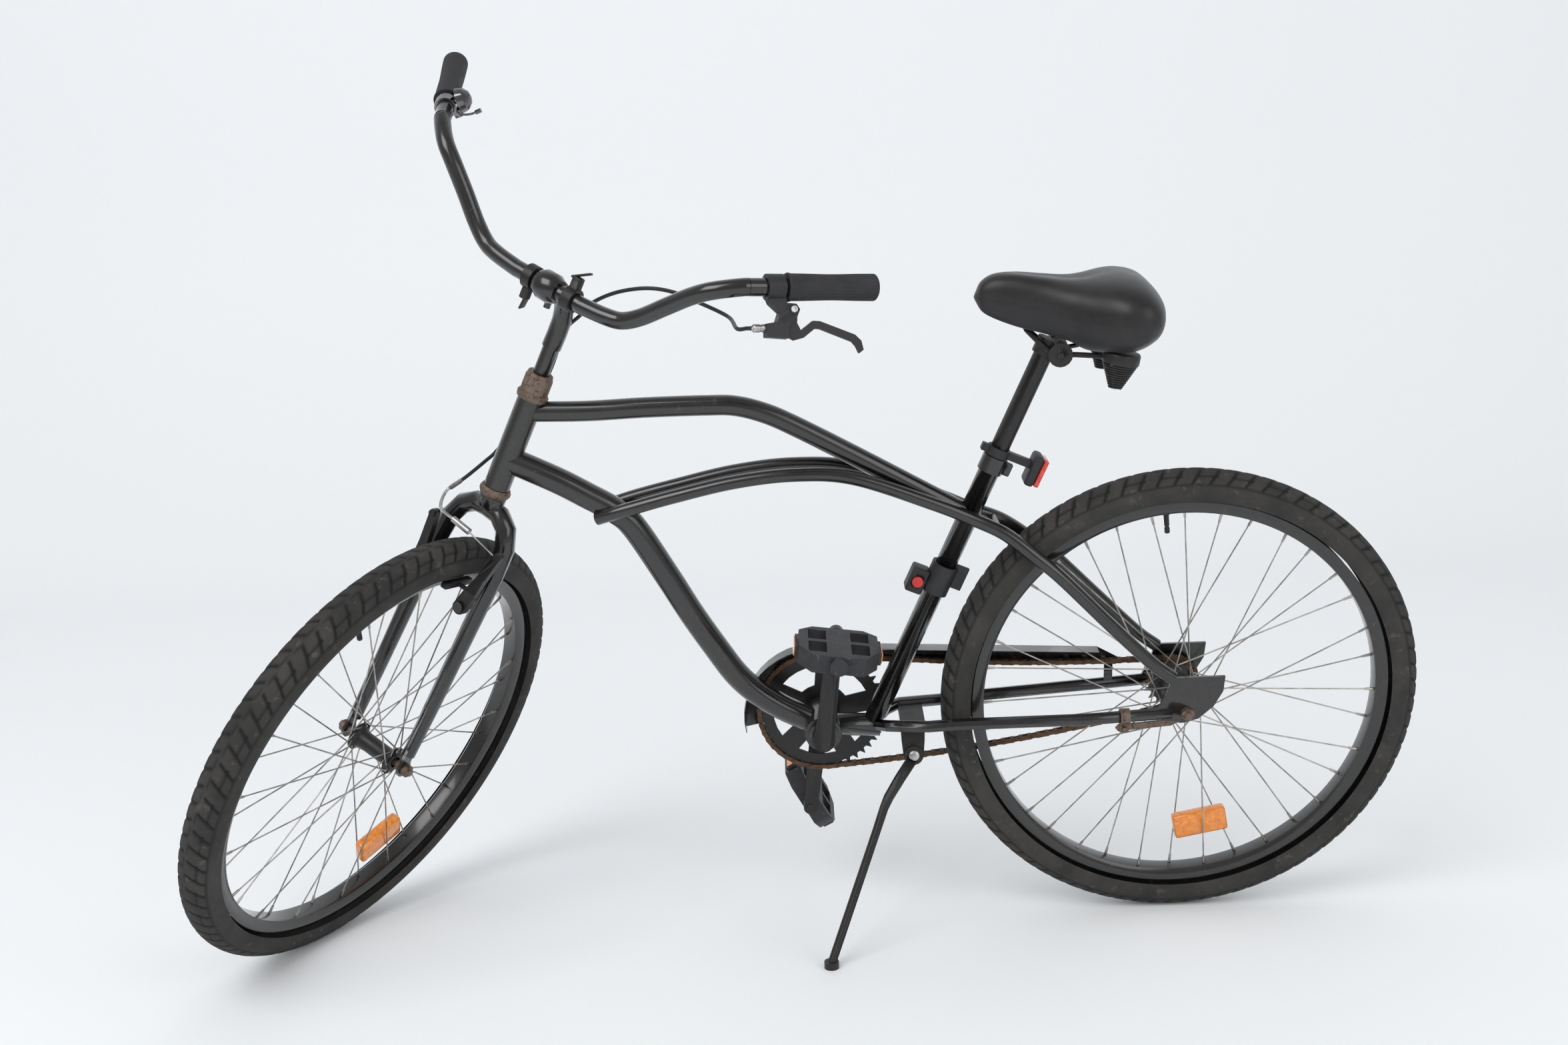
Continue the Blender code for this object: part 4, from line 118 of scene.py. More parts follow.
RIGHT = unit(JOINTS["rear_wheel_spin"]["axis"])
REAR = np.array([1.0, 0.0, 0.0])
FRAME_AXES = axes(JOINTS["rear_wheel_spin"]["pos_m"], REAR, RIGHT)
REAR_WHEEL_AXES = axes(JOINTS["rear_wheel_spin"]["pos_m"], REAR, np.cross(RIGHT, REAR))
HEAD_AXIS = unit(JOINTS["steering"]["axis"])
FORK_RIGHT = unit(JOINTS["front_wheel_spin"]["axis"])
FORK_REAR = unit(np.cross(FORK_RIGHT, HEAD_AXIS))
STEERING_AXES = axes(JOINTS["steering"]["pos_m"], FORK_REAR, FORK_RIGHT)
FRONT_WHEEL_AXES = axes(JOINTS["front_wheel_spin"]["pos_m"], FORK_REAR, np.cross(FORK_RIGHT, FORK_REAR))
SADDLE_AXES = axes(JOINTS["saddle_tilt"]["pos_m"], REAR, RIGHT)
HEAD_LINE = np.array([math.cos(HEAD_ANGLE), 0.0, math.sin(HEAD_ANGLE)])


def head_point(height):
    """Point of the frame axes at a height along the steering axis."""
    return np.array([-WHEELBASE, 0.0, 0.0]) + HEAD_LINE * height


def smooth_path(points, per_span):
    """Catmull-Rom curve: in each span the cubic whose end slopes are half the chord of its neighbours."""
    p = np.asarray(points, float)
    p = np.vstack([2 * p[0] - p[1], p, 2 * p[-1] - p[-2]])
    t = (np.arange(per_span) / per_span)[None, :, None]
    a, b, c, d = (p[k : len(p) - 3 + k, None, :] for k in range(4))
    out = b + 0.5 * ((c - a) * t + (2 * a - 5 * b + 4 * c - d) * t**2 + (3 * b - a - 3 * c + d) * t**3)
    return np.vstack([out.reshape(-1, 3), p[-2]])


def swept(path, radius, reference, sides):
    """Tube around a path: each ring is centre + r (cos a * n + sin a * b), where n is the reference
    crossed with the path's direction and b closes the right-handed set."""
    path = np.asarray(path, float)
    along = unit(np.gradient(path, axis=0))
    n = unit(np.cross(np.asarray(reference, float), along))
    b = np.cross(along, n)
    a = np.linspace(0, 2 * math.pi, sides, endpoint=False)[None, :, None]
    r = np.broadcast_to(np.asarray(radius, float), (len(path),))[:, None, None]
    return path[:, None, :] + r * (np.cos(a) * n[:, None, :] + np.sin(a) * b[:, None, :])


def turned(profile, steps):
    """Profile of (radius, height) turned about Z: (r cos a, r sin a, h) for each angle a."""
    profile = np.asarray(profile, float)
    a = np.linspace(0, 2 * math.pi, steps, endpoint=False)[:, None]
    r, h = profile[None, :, 0], profile[None, :, 1]
    return np.stack([r * np.cos(a), r * np.sin(a), h + 0 * a], axis=-1)


def sheet_of(points, wrap_rows=False, wrap_columns=False, caps=False):
    """A grid of points as (vertices, quads, corner UVs, cap rings). Rows or columns may close on
    themselves."""
    rows, columns = points.shape[:2]
    index = np.arange(rows * columns).reshape(rows, columns)
    i = np.arange(rows if wrap_rows else rows - 1)[:, None]
    j = np.arange(columns if wrap_columns else columns - 1)[None, :]
    i2, j2 = (i + 1) % rows, (j + 1) % columns
    quads = np.stack([index[i, j], index[i, j2], index[i2, j2], index[i2, j]], axis=-1).reshape(-1, 4)
    u, v = j / columns, i / rows
    du, dv = 1 / columns, 1 / rows
    corners = [(u, v), (u + du, v), (u + du, v + dv), (u, v + dv)]
    uv = np.stack([np.stack(np.broadcast_arrays(a, b), axis=-1) for a, b in corners],
                  axis=2).reshape(-1, 2)
    ends = [index[0], index[-1]] if caps else []
    return points.reshape(-1, 3), quads, uv, ends


def rods(starts, ends, start_radius, end_radius, sides):
    """Many straight tubes at once, each with two rings about its own axis, as vertices, quads, UVs
    and caps."""
    starts, ends = np.asarray(starts, float), np.asarray(ends, float)
    along = unit(ends - starts)
    hint = np.where(np.abs(along[:, 2:3]) < 0.9, np.array([[0.0, 0.0, 1.0]]),
                    np.array([[1.0, 0.0, 0.0]]))
    n = unit(np.cross(hint, along))
    b = np.cross(along, n)
    a = np.linspace(0, 2 * math.pi, sides, endpoint=False)[None, :, None]
    ring = np.cos(a) * n[:, None, :] + np.sin(a) * b[:, None, :]
    both = np.stack([starts[:, None, :] + start_radius * ring, ends[:, None, :] + end_radius * ring],
                    axis=1)
    count = len(starts)
    index = np.arange(count * 2 * sides).reshape(count, 2, sides)
    turned_index = np.roll(index, -1, axis=2)
    quads = np.stack([index[:, 0], turned_index[:, 0], turned_index[:, 1], index[:, 1]],
                     axis=-1).reshape(-1, 4)
    caps = list(index[:, 0]) + list(index[:, 1])
    return both.reshape(-1, 3), quads, np.zeros((len(quads) * 4, 2)), caps


def piece(name, body, sheets, materials, nodes=(), sharp=35.0, material_of=None):
    """One mesh object from several sheets; material_of gives each sheet's material index. Poles and
    seams are merged, the faces turned outwards, and the object rides on its body in place of its nodes."""
    verts, faces, uvs, slots, base = [], [], [], [], 0
    for number, (points, quads, uv, caps) in enumerate(sheets):
        verts.append(points)
        faces += (quads + base).tolist() + [(ring + base).tolist() for ring in caps]
        uvs.append(uv)
        uvs.append(np.zeros((sum(len(ring) for ring in caps), 2)))
        chosen = material_of[number] if material_of else 0
        slots.append(np.full(len(quads) + len(caps), chosen, np.int32))
        base += len(points)
    mesh = bpy.data.meshes.new(name)
    mesh.from_pydata(np.vstack(verts).tolist(), [], faces)
    layer = mesh.uv_layers.new(name="UVMap")
    layer.data.foreach_set("uv", np.vstack(uvs).astype(np.float32).ravel())
    mesh.polygons.foreach_set("material_index", np.concatenate(slots))
    for material in materials:
        mesh.materials.append(material)
    work = bmesh.new()
    work.from_mesh(mesh)
    bmesh.ops.remove_doubles(work, verts=work.verts, dist=1e-6)
    bmesh.ops.recalc_face_normals(work, faces=work.faces)
    work.to_mesh(mesh)
    work.free()
    return dressed(mesh, name, body, nodes, sharp)


def dressed(mesh, name, body, nodes, sharp):
    """An object for a finished mesh: shaded, riding on its body and standing for its nodes."""
    mesh.shade_smooth()
    mesh.set_sharp_from_angle(angle=math.radians(sharp))
    thing = bpy.data.objects.new(name, mesh)
    bpy.context.scene.collection.objects.link(thing)
    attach(thing, body)
    if nodes:
        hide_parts(*nodes)
    return thing


def refined(node, body, material, sharp=42.0):
    """A welded copy of a solid part with smooth shading over its facets and crisp real edges."""
    mesh = frame["nodes"][node].data.copy()
    mesh.name = node + "_surface"
    work = bmesh.new()
    work.from_mesh(mesh)
    bmesh.ops.remove_doubles(work, verts=work.verts, dist=2e-6)
    bmesh.ops.dissolve_limit(work, angle_limit=math.radians(0.5), verts=work.verts, edges=work.edges)
    work.to_mesh(mesh)
    work.free()
    mesh.materials.clear()
    mesh.materials.append(material)
    mesh.polygons.foreach_set("material_index", np.zeros(len(mesh.polygons), np.int32))
    return dressed(mesh, node + "_surface", body, (node,), sharp)


# ---- materials ----


def tone(code):
    """Linear colour of an sRGB hex value: ((c + 0.055) / 1.055) ^ 2.4 above the toe, c / 12.92 below."""
    parts = [int(code[k : k + 2], 16) / 255 for k in (0, 2, 4)]
    return tuple(((c + 0.055) / 1.055) ** 2.4 if c > 0.04045 else c / 12.92 for c in parts) + (1.0,)


def add(tree, kind, settings=None, links=None):
    """Add one node; settings are attributes or input defaults, links join its inputs to other sockets."""
    node = tree.nodes.new(kind)
    for key, value in (settings or {}).items():
        if key in node.inputs:
            node.inputs[key].default_value = value
        else:
            setattr(node, key, value)
    for key, socket in (links or {}).items():
        tree.links.new(socket, node.inputs[key])
    return node


def finish_of(name, sockets, dark, light, size, rough, bump=0.0, bump_size=None, stretch=(1, 1, 1),
              spots=None):
    """Principled finish whose colour wanders between two tones in clouds of a real size in metres, whose
    roughness follows the same clouds, and whose bump is a finer noise; spots add a third tone."""
    material = bpy.data.materials.new(name)
    material.use_nodes = True
    tree = material.node_tree
    shader = tree.nodes["Principled BSDF"]
    for key, value in sockets.items():
        shader.inputs[key].default_value = value
    where = add(tree, "ShaderNodeTexCoord").outputs["Object"]
    scaled = add(tree, "ShaderNodeMapping", {"Scale": stretch}, {"Vector": where}).outputs["Vector"]
    clouds = add(tree, "ShaderNodeTexNoise", {"Scale": 1 / size, "Detail": 6.0, "Roughness": 0.6},
                 {"Vector": scaled})
    ramp = add(tree, "ShaderNodeValToRGB", None, {"Fac": clouds.outputs["Fac"]})
    ramp.color_ramp.elements[0].position, ramp.color_ramp.elements[0].color = 0.36, tone(dark)
    ramp.color_ramp.elements[1].position, ramp.color_ramp.elements[1].color = 0.68, tone(light)
    colour = ramp.outputs["Color"]
    if spots:
        code, spot_size, cover = spots
        grain = add(tree, "ShaderNodeTexNoise",
                    {"Scale": 1 / spot_size, "Detail": 8.0, "Roughness": 0.7}, {"Vector": scaled})
        mask = add(tree, "ShaderNodeMapRange",
                   {"From Min": 0.62 - 0.25 * cover, "From Max": 0.72 - 0.25 * cover},
                   {"Value": grain.outputs["Fac"]})
        mix = add(tree, "ShaderNodeMix", {"data_type": "RGBA"})
        tree.links.new(mask.outputs["Result"], mix.inputs["Factor"])
        tree.links.new(colour, mix.inputs["A"])
        mix.inputs["B"].default_value = tone(code)
        colour = mix.outputs[2]
    tree.links.new(colour, shader.inputs["Base Color"])
    spread = add(tree, "ShaderNodeMapRange",
                 {"To Min": rough[0], "To Max": rough[1], "From Min": 0.3, "From Max": 0.7},
                 {"Value": clouds.outputs["Fac"]})
    tree.links.new(spread.outputs["Result"], shader.inputs["Roughness"])
    if bump:
        fine = add(tree, "ShaderNodeTexNoise", {"Scale": 1 / bump_size, "Detail": 3.0},
                   {"Vector": scaled})
        relief = add(tree, "ShaderNodeBump", {"Strength": 0.6, "Distance": bump},
                     {"Height": fine.outputs["Fac"]})
        tree.links.new(relief.outputs["Normal"], shader.inputs["Normal"])
    return material


def grained(material, cell, depth):
    """Turn a finish's bump into leather-like cells of a real size: the distance to each cell's edge."""
    tree = material.node_tree
    shader = tree.nodes["Principled BSDF"]
    where = add(tree, "ShaderNodeTexCoord").outputs["Object"]
    cells = add(tree, "ShaderNodeTexVoronoi", {"feature": "DISTANCE_TO_EDGE", "Scale": 1 / cell},
                {"Vector": where})
    relief = add(tree, "ShaderNodeBump", {"Strength": 0.5, "Distance": depth},
                 {"Height": cells.outputs["Distance"]})
    tree.links.new(relief.outputs["Normal"], shader.inputs["Normal"])
    return material


def painted_groove_shade(material, code):
    """Painted shade in the tread grooves: darken a finish where the mesh's groove attribute says how deep a cut
    is, from 0 to 1.
    """
    tree = material.node_tree
    socket = tree.nodes["Principled BSDF"].inputs["Base Color"]
    groove = add(tree, "ShaderNodeAttribute", {"attribute_name": "groove"}).outputs["Fac"]
    mix = add(tree, "ShaderNodeMix", {"data_type": "RGBA"}, {0: groove, 6: socket.links[0].from_socket})
    # This near-black tone is painted shade for the groove's hollow, not a colour of the rubber
    mix.inputs[7].default_value = tone(code)
    tree.links.new(mix.outputs[2], socket)
    return material


def finishes(settings):
    """Every finish of the bicycle, by its record slot name."""
    made = {}
    # Gloss enamel on steel tube: a clear top coat over black, dulled by brownish road dust
    made["black_paint"] = finish_of(
        "gloss_black_enamel", {"Coat Weight": 0.7, "Coat Roughness": 0.12, "Specular IOR Level": 0.5},
        "0f0e0e", "191716", 0.09, (0.16, 0.36), 0.00004, 0.0025, spots=("3a332d", 0.012, 0.08))
    # Satin black powder coat and plated steel: broad soft highlights, a few worn grey flecks
    made["satin_black"] = finish_of(
        "satin_black_coating", {"Metallic": 0.0}, "131213", "1f1d1d", 0.05, (0.34, 0.52), 0.00004,
        0.0012, spots=("443d37", 0.006, 0.08))
    # Tyre rubber, vulcanised: matt charcoal with pale dust in its clouds, and a near-black painted shade in the
    # tread grooves
    rubber = finish_of(
        "dusty_tyre_rubber_with_painted_groove_shade", {"Specular IOR Level": 0.35}, "2b2a29", "403e3c", 0.06, (0.72, 0.92),
        0.00015, 0.0012, spots=("4f4c49", 0.016, 0.15))
    made["tyre_rubber"] = painted_groove_shade(rubber, "0d0d0d")
    # Moulded grip rubber: matt, fine pores
    made["grip_rubber"] = finish_of(
        "moulded_grip_rubber", {"Specular IOR Level": 0.4}, "232325", "323234", 0.03, (0.58, 0.78),
        0.00010, 0.0010)
    # Glass-filled nylon, moulded: even dark grey with a spark-eroded texture
    made["pedal_plastic"] = finish_of(
        "moulded_nylon", {"Specular IOR Level": 0.45}, "222226", "303034", 0.03, (0.45, 0.62), 0.00012,
        0.0008, spots=("565049", 0.008, 0.12))
    # Stainless and zinc wire, drawn: bright, slightly dulled
    made["spoke_steel"] = finish_of(
        "drawn_steel_wire", {"Metallic": 1.0}, "8d8a86", "c4c1bb", 0.02, (0.28, 0.45))
    # Plated steel gone rusty: brown blooms over dull grey
    made["rusty_steel"] = finish_of(
        "rusty_plated_steel", {"Metallic": 0.75}, "6b5a4c", "8a8078", 0.010, (0.45, 0.75), 0.00010,
        0.0010, spots=("5a3520", 0.004, 0.35))
    # Roller chain, oiled and rusted: dark brown
    made["chain_steel"] = finish_of(
        "rusty_oiled_chain", {"Metallic": 0.7}, "4a3a2e", "75604c", 0.008, (0.42, 0.70), 0.00006,
        0.0008, spots=("6e4022", 0.004, 0.35))
    # Satin aluminium: barrel adjuster and guide tube
    made["bright_metal"] = finish_of(
        "satin_aluminium", {"Metallic": 1.0}, "a3a2a0", "c9c8c5", 0.01, (0.30, 0.42))
    # Dark chrome on spun brass: the bell's dome
    made["bell_metal"] = finish_of(
        "dark_chrome", {"Metallic": 1.0}, "6c6b6d", "8d8c8e", 0.02, (0.10, 0.20))
    # Moulded acrylic prism reflector, amber and red
    clear = {"Coat Weight": 1.0, "Coat Roughness": 0.05}
    amber = finish_of("amber_acrylic", clear, "d9741c", "f09a3a", 0.006, (0.18, 0.30))
    made["amber_reflector"] = grained(amber, 0.0030, 0.0004)
    red = finish_of("red_acrylic", clear, "b0180f", "e23a1e", 0.006, (0.15, 0.25))
    made["red_lens"] = grained(red, 0.0030, 0.0004)
    made["red_button"] = finish_of(
        "red_plastic", {"Coat Weight": 0.3}, "b3201c", "c92a22", 0.01, (0.30, 0.40))
    # Moulded plastic, charcoal: lever, brackets and light housing
    made["black_plastic"] = finish_of(
        "moulded_charcoal_plastic", {"Specular IOR Level": 0.45}, "1c1c1e", "2a2a2c", 0.02,
        (0.42, 0.58), 0.00005, 0.0008)
    # Saddle vinyl, calendered with a fine leather grain of about 1.3 mm cells
    vinyl = finish_of(
        "saddle_vinyl", {"Specular IOR Level": 0.45, "Sheen Weight": 0.08}, "141315", "201f20", 0.04,
        (0.32, 0.46))
    made["saddle_vinyl"] = grained(vinyl, 0.0013, settings.grain_depth)
    return made


FINISHES = {}


# ---- the add-on's settings ----


class BicycleSettings(PropertyGroup):
    """Sizes and levels that a user may want to change."""

    tread_depth: FloatProperty(name="Tread depth", description="Depth of the tyres' grooves",
                               default=0.0013, min=0.0, max=0.003, unit="LENGTH", precision=4)
    tread_pitch: IntProperty(name="Tread blocks", description="Groove pairs around each tyre",
                             default=84, min=20, max=160)
    coil_turns: IntProperty(name="Spring turns", description="Turns of each saddle spring", default=10,
                            min=4, max=14)
    grain_depth: FloatProperty(name="Vinyl grain", description="Depth of the saddle's grain",
                               default=0.00018, min=0.0, max=0.001, unit="LENGTH", precision=5)
    rib_depth: FloatProperty(name="Grip ribs", description="Depth of the grips' flutes", default=0.0006,
                             min=0.0, max=0.002, unit="LENGTH", precision=4)
    floor_colour: FloatVectorProperty(name="Floor", description="Colour of floor and backdrop",
                                      subtype="COLOR", size=3, default=(0.88, 0.90, 0.92), min=0.0,
                                      max=1.0)
    key_power: FloatProperty(name="Key lamp", description="Power of the large soft lamp", default=110.0,
                             min=0.0, max=1000.0, unit="POWER")


# ---- pieces ----


class BICYCLE_OT_stage(Operator):
    """Floor, backdrop, soft lamps and the camera of the photograph's view"""

    bl_idname = "bicycle.stage"
    bl_label = "Stage"

    def execute(self, context):
        settings = context.scene.bicycle
        # Sweep: flat floor, a quarter round, then an upright wall behind the bicycle
        reach, start, radius, height = 40.0, 2.2, 1.2, 20.0
        bend = np.linspace(0, math.pi / 2, 13)
        y = np.concatenate([[-reach], start + radius * np.sin(bend), [start + radius]])
        z = np.concatenate([[0.0], radius * (1 - np.cos(bend)), [height]])
        x = np.array([-reach, reach])
        grid = np.stack(np.broadcast_arrays(x[None, :], y[:, None], z[:, None]), axis=-1)
        points, quads, uv, caps = sheet_of(grid)
        mesh = bpy.data.meshes.new("floor")
        mesh.from_pydata(points.tolist(), [], quads.tolist())
        mesh.shade_smooth()
        paper = bpy.data.materials.new("white_studio_paper")
        paper.use_nodes = True
        tree = paper.node_tree
        shader = tree.nodes["Principled BSDF"]
        shader.inputs["Base Color"].default_value = (*settings.floor_colour, 1.0)
        shader.inputs["Roughness"].default_value = 0.6
        # The paper's back isn't drawn for the camera, so the bicycle can be seen from behind the sweep
        seen = add(tree, "ShaderNodeLightPath").outputs["Is Camera Ray"]
        behind = add(tree, "ShaderNodeNewGeometry").outputs["Backfacing"]
        hidden = add(tree, "ShaderNodeMath", {"operation": "MULTIPLY"}, {0: seen, 1: behind})
        clear = add(tree, "ShaderNodeBsdfTransparent")
        mixed = add(tree, "ShaderNodeMixShader", None,
                    {0: hidden.outputs[0], 1: shader.outputs[0], 2: clear.outputs[0]})
        tree.links.new(mixed.outputs[0], tree.nodes["Material Output"].inputs["Surface"])
        mesh.materials.append(paper)
        floor = bpy.data.objects.new("floor", mesh)
        context.scene.collection.objects.link(floor)
        for name, place, size, share in (("key", (-2.2, -3.0, 4.2), 3.0, 1.0),
                                         ("fill", (3.2, -3.6, 2.6), 3.0, 0.45)):
            lamp = bpy.data.lights.new(name, "AREA")
            lamp.shape, lamp.size, lamp.energy = "SQUARE", size, settings.key_power * share
            holder = bpy.data.objects.new(name, lamp)
            holder.location = place
            aim = Vector((-0.1, 0.1, 0.4)) - Vector(place)
            holder.rotation_euler = aim.to_track_quat("-Z", "Y").to_euler()
            context.scene.collection.objects.link(holder)
        world = context.scene.world or bpy.data.worlds.new("studio")
        context.scene.world = world
        world.use_nodes = True
        sky = world.node_tree.nodes["Background"]
        sky.inputs["Color"].default_value = (1.0, 1.0, 1.0, 1.0)
        # Gloss sees a dimmer room than the matt surfaces do, so that black enamel keeps its depth
        ray = add(world.node_tree, "ShaderNodeLightPath")
        level = add(world.node_tree, "ShaderNodeMapRange", {"To Min": 0.74, "To Max": 0.40},
                    {"Value": ray.outputs["Is Glossy Ray"]})
        shown = add(world.node_tree, "ShaderNodeMix", None,
                    {0: ray.outputs["Is Camera Ray"], 2: level.outputs["Result"]})
        shown.inputs[3].default_value = 0.87
        world.node_tree.links.new(shown.outputs[0], sky.inputs["Strength"])
        # The view is solved from the photograph: place and image axes in the frame's own axes
        right, down = (0.9994, -0.0084, -0.0341), (-0.0350, -0.3377, -0.9406)
        ahead = (-0.0037, 0.9412, -0.3378)
        rotation = np.array([right, [-c for c in down], [-c for c in ahead]]).T
        matrix = np.eye(4)
        matrix[:3, :3] = FRAME_AXES[:3, :3] @ rotation
        matrix[:3, 3] = placed([-0.53030, -2.24526, 1.07944], FRAME_AXES)
        lens = bpy.data.cameras.new("camera")
        lens.lens, lens.sensor_width = 40.82, 36.0
        camera = bpy.data.objects.new("camera", lens)
        camera.matrix_world = Matrix(matrix.tolist())
        context.scene.collection.objects.link(camera)
        context.scene.camera = camera
        context.scene.view_settings.view_transform = "Standard"
        return {"FINISHED"}


def tyre_surface(settings, matrix):
    """Tyre: the section is a circle of the tyre's radius, open at the bead. A groove lowers a point by the
    tread depth times smooth masks: a slanted cut every pitch that curves as the square of the place
    across the tread, and a thin line along each shoulder."""
    rows, columns = 1344, 36
    edge, bead_edge, wall = math.radians(118), math.radians(108), 0.0035
    section = np.linspace(-edge, edge, columns)[None, :]
    round_ = np.linspace(0, 2 * math.pi, rows, endpoint=False)[:, None]
    across = section / edge
    phase = round_ * settings.tread_pitch / (2 * math.pi)
    side = np.sign(across + 1e-9)
    cut_phase = (phase + 0.25 * side + side * 0.9 * across + 0.8 * across**2) % 1.0
    reach = (np.abs(across) > 0.07) & (np.abs(across) < 0.50)
    cut = np.exp(-(((cut_phase - 0.5) / 0.11) ** 2)) * reach
    cross_phase = (phase * 0.5 + 0.5 * side) % 1.0
    bar = np.exp(-(((np.abs(across) - 0.30) / 0.022) ** 2)) * (np.abs(cross_phase - 0.5) < 0.30)
    line = np.exp(-(((np.abs(across) - 0.55) / 0.018) ** 2))
    middle = np.exp(-(((across - 0.03 * np.sin(phase * math.pi)) / 0.020) ** 2))
    share = np.clip(cut + bar + 0.7 * line + 0.6 * middle, 0, 1)
    radius = TYRE_SECTION - settings.tread_depth * share
    r = TYRE_RING + radius * np.cos(section)
    h = radius * np.sin(section)
    outer = np.stack([r * np.cos(round_), r * np.sin(round_), h + 0 * round_], axis=-1)
    # Inside wall: a smaller arc back to the first bead, so that the section is one closed loop
    back = np.linspace(bead_edge, -bead_edge, 9)[None, :]
    r2 = TYRE_RING + (TYRE_SECTION - wall) * np.cos(back)
    h2 = (TYRE_SECTION - wall) * np.sin(back)
    inner = np.stack([r2 * np.cos(round_), r2 * np.sin(round_), h2 + 0 * round_], axis=-1)
    groove = np.concatenate([share, np.zeros((rows, back.shape[1]))], axis=1)
    return sheet_of(placed(np.concatenate([outer, inner], axis=1), matrix), True, True), groove


class BICYCLE_OT_tyres(Operator):
    """Both tyres with their cut tread"""

    bl_idname = "bicycle.tyres"
    bl_label = "Tyres"

    def execute(self, context):
        for label, matrix in (("front", FRONT_WHEEL_AXES), ("rear", REAR_WHEEL_AXES)):
            sheet, groove = tyre_surface(context.scene.bicycle, matrix)
            tyre = piece(label + "_tyre_rubber", label + "_wheel", [sheet], [FINISHES["tyre_rubber"]],
                         (label + "_tyre",), 60.0)
            # The groove attribute holds each point's cut depth, and the rubber finish uses it as the mask of its
            # painted groove shade
            layer = tyre.data.attributes.new("groove", "FLOAT", "POINT")
            layer.data.foreach_set("value", groove.astype(np.float32).ravel())
        return {"FINISHED"}


class BICYCLE_OT_rims(Operator):
    """Both rims as a turned hollow section, each with its valve"""

    bl_idname = "bicycle.rims"
    bl_label = "Rims and valves"

    def execute(self, context):
        half, wall = RIM_WIDTH / 2, RIM_WIDTH / 2 - RIM_WALL
        foot = RIM_OUTER - 0.0065
        profile = [(RIM_OUTER, half), (RIM_OUTER - 0.0012, half + 0.0002), (foot, half - 0.0004),
                   (RIM_INNER + 0.003, 0.0132), (RIM_INNER + 0.0006, 0.0112), (RIM_INNER, 0.0085),
                   (RIM_INNER, -0.0085), (RIM_INNER + 0.0006, -0.0112), (RIM_INNER + 0.003, -0.0132),
                   (foot, 0.0004 - half), (RIM_OUTER - 0.0012, -half - 0.0002), (RIM_OUTER, -half),
                   (RIM_OUTER, -wall), (foot, -wall), (RIM_INNER + 0.0016, -0.008),
                   (RIM_INNER + 0.0016, 0.008), (foot, wall), (RIM_OUTER, wall), (RIM_OUTER, half)]
        valve = [(0.0, 0.0), (0.0058, 0.0), (0.0055, 0.003), (0.0036, 0.006), (0.0034, 0.020),
                 (0.0028, 0.021), (0.0028, 0.023), (0.0036, 0.0235), (0.0036, 0.0300), (0.0028, 0.0310),
                 (0.0, 0.0310)]
        for label, matrix, angle in (("front", FRONT_WHEEL_AXES, FRONT_VALVE_ANGLE),
                                     ("rear", REAR_WHEEL_AXES, REAR_VALVE_ANGLE)):
            ring = sheet_of(placed(turned(profile, 144), matrix), True, False)
            out = np.array([math.cos(angle), math.sin(angle), 0.0])
            stand = axes(out * (RIM_INNER + 0.001), np.array([0.0, 0.0, 1.0]),
                         np.cross(-out, [0.0, 0.0, 1.0]))
            stem = sheet_of(placed(placed(turned(valve, 20), stand), matrix), True, False)
            piece(label + "_rim_ring", label + "_wheel", [ring, stem],
                  [FINISHES["black_paint"], FINISHES["grip_rubber"]], (label + "_rim",),
                  material_of=[0, 1])
        return {"FINISHED"}


def lacing(flange, spacing, reach):
    """Feet and heads of all the spokes. Alternate ones leave outside the flange and lean the other way."""
    each = SPOKES // 2
    i = np.arange(each)
    feet, heads = [], []
    for side in (-1.0, 1.0):
        foot = 2 * math.pi * (i + 0.25 * (1 + side)) / each
        outer = i % 2 == 1
        rim = foot + np.where(outer, SPOKE_CROSSING, -SPOKE_CROSSING)
        height = np.where(outer, spacing + 0.0006, spacing - 0.0036)
        hole = flange - 0.0035
        feet.append(np.stack([hole * np.cos(foot), hole * np.sin(foot), side * height], axis=1))
        heads.append(np.stack([reach * np.cos(rim), reach * np.sin(rim), side * 0.006 + 0 * rim],
                              axis=1))
    return np.vstack(feet), np.vstack(heads)


class BICYCLE_OT_hubs(Operator):
    """Hub shells with their flanges, laced spokes, elbows and nipples"""

    bl_idname = "bicycle.hubs"
    bl_label = "Hubs and spokes"

    def execute(self, context):
        # Flange radius, half spacing of the flanges and barrel radius of each hub
        hubs = [("front", FRONT_WHEEL_AXES, 0.0205, 0.0340, 0.0125),
                ("rear", REAR_WHEEL_AXES, 0.0300, 0.0310, 0.0200)]
        for label, matrix, flange, spacing, barrel in hubs:
            inside = spacing - 0.003
            half = [(0.0082, spacing - 0.004), (0.0082, spacing + 0.0035), (0.0112, spacing + 0.0035),
                    (0.0125, spacing + 0.0008), (flange - 0.0008, spacing), (flange, spacing - 0.0006),
                    (flange, inside + 0.0006), (flange - 0.0008, inside),
                    (barrel + 0.004, inside - 0.001), (barrel + 0.0012, inside - 0.004),
                    (barrel, inside - 0.009)]
            profile = half + [(r, -h) for r, h in reversed(half)]
            shell = sheet_of(placed(turned(profile + [half[0]], 56), matrix), True, False)
            feet, heads = lacing(flange, spacing, RIM_INNER - 0.0004)
            along = unit(heads - feet)
            wires = rods(placed(feet, matrix), placed(heads, matrix), SPOKE_RADIUS, SPOKE_RADIUS, 8)
            nipples = rods(placed(heads - 0.0120 * along, matrix), placed(heads, matrix), 0.0017,
                           0.0022, 8)
            lift = np.sign(feet[:, 2:3]) * np.array([[0.0, 0.0, 1.0]])
            elbows = rods(placed(feet - 0.0009 * lift, matrix), placed(feet + 0.0009 * lift, matrix),
                          0.0017, 0.0017, 8)
            dark, bright = FINISHES["satin_black"], FINISHES["spoke_steel"]
            piece(label + "_hub_and_spokes", label + "_wheel", [shell, wires, nipples, elbows],
                  [dark, bright], (label + "_hub",), 40.0, [0, 1, 1, 1])
        return {"FINISHED"}


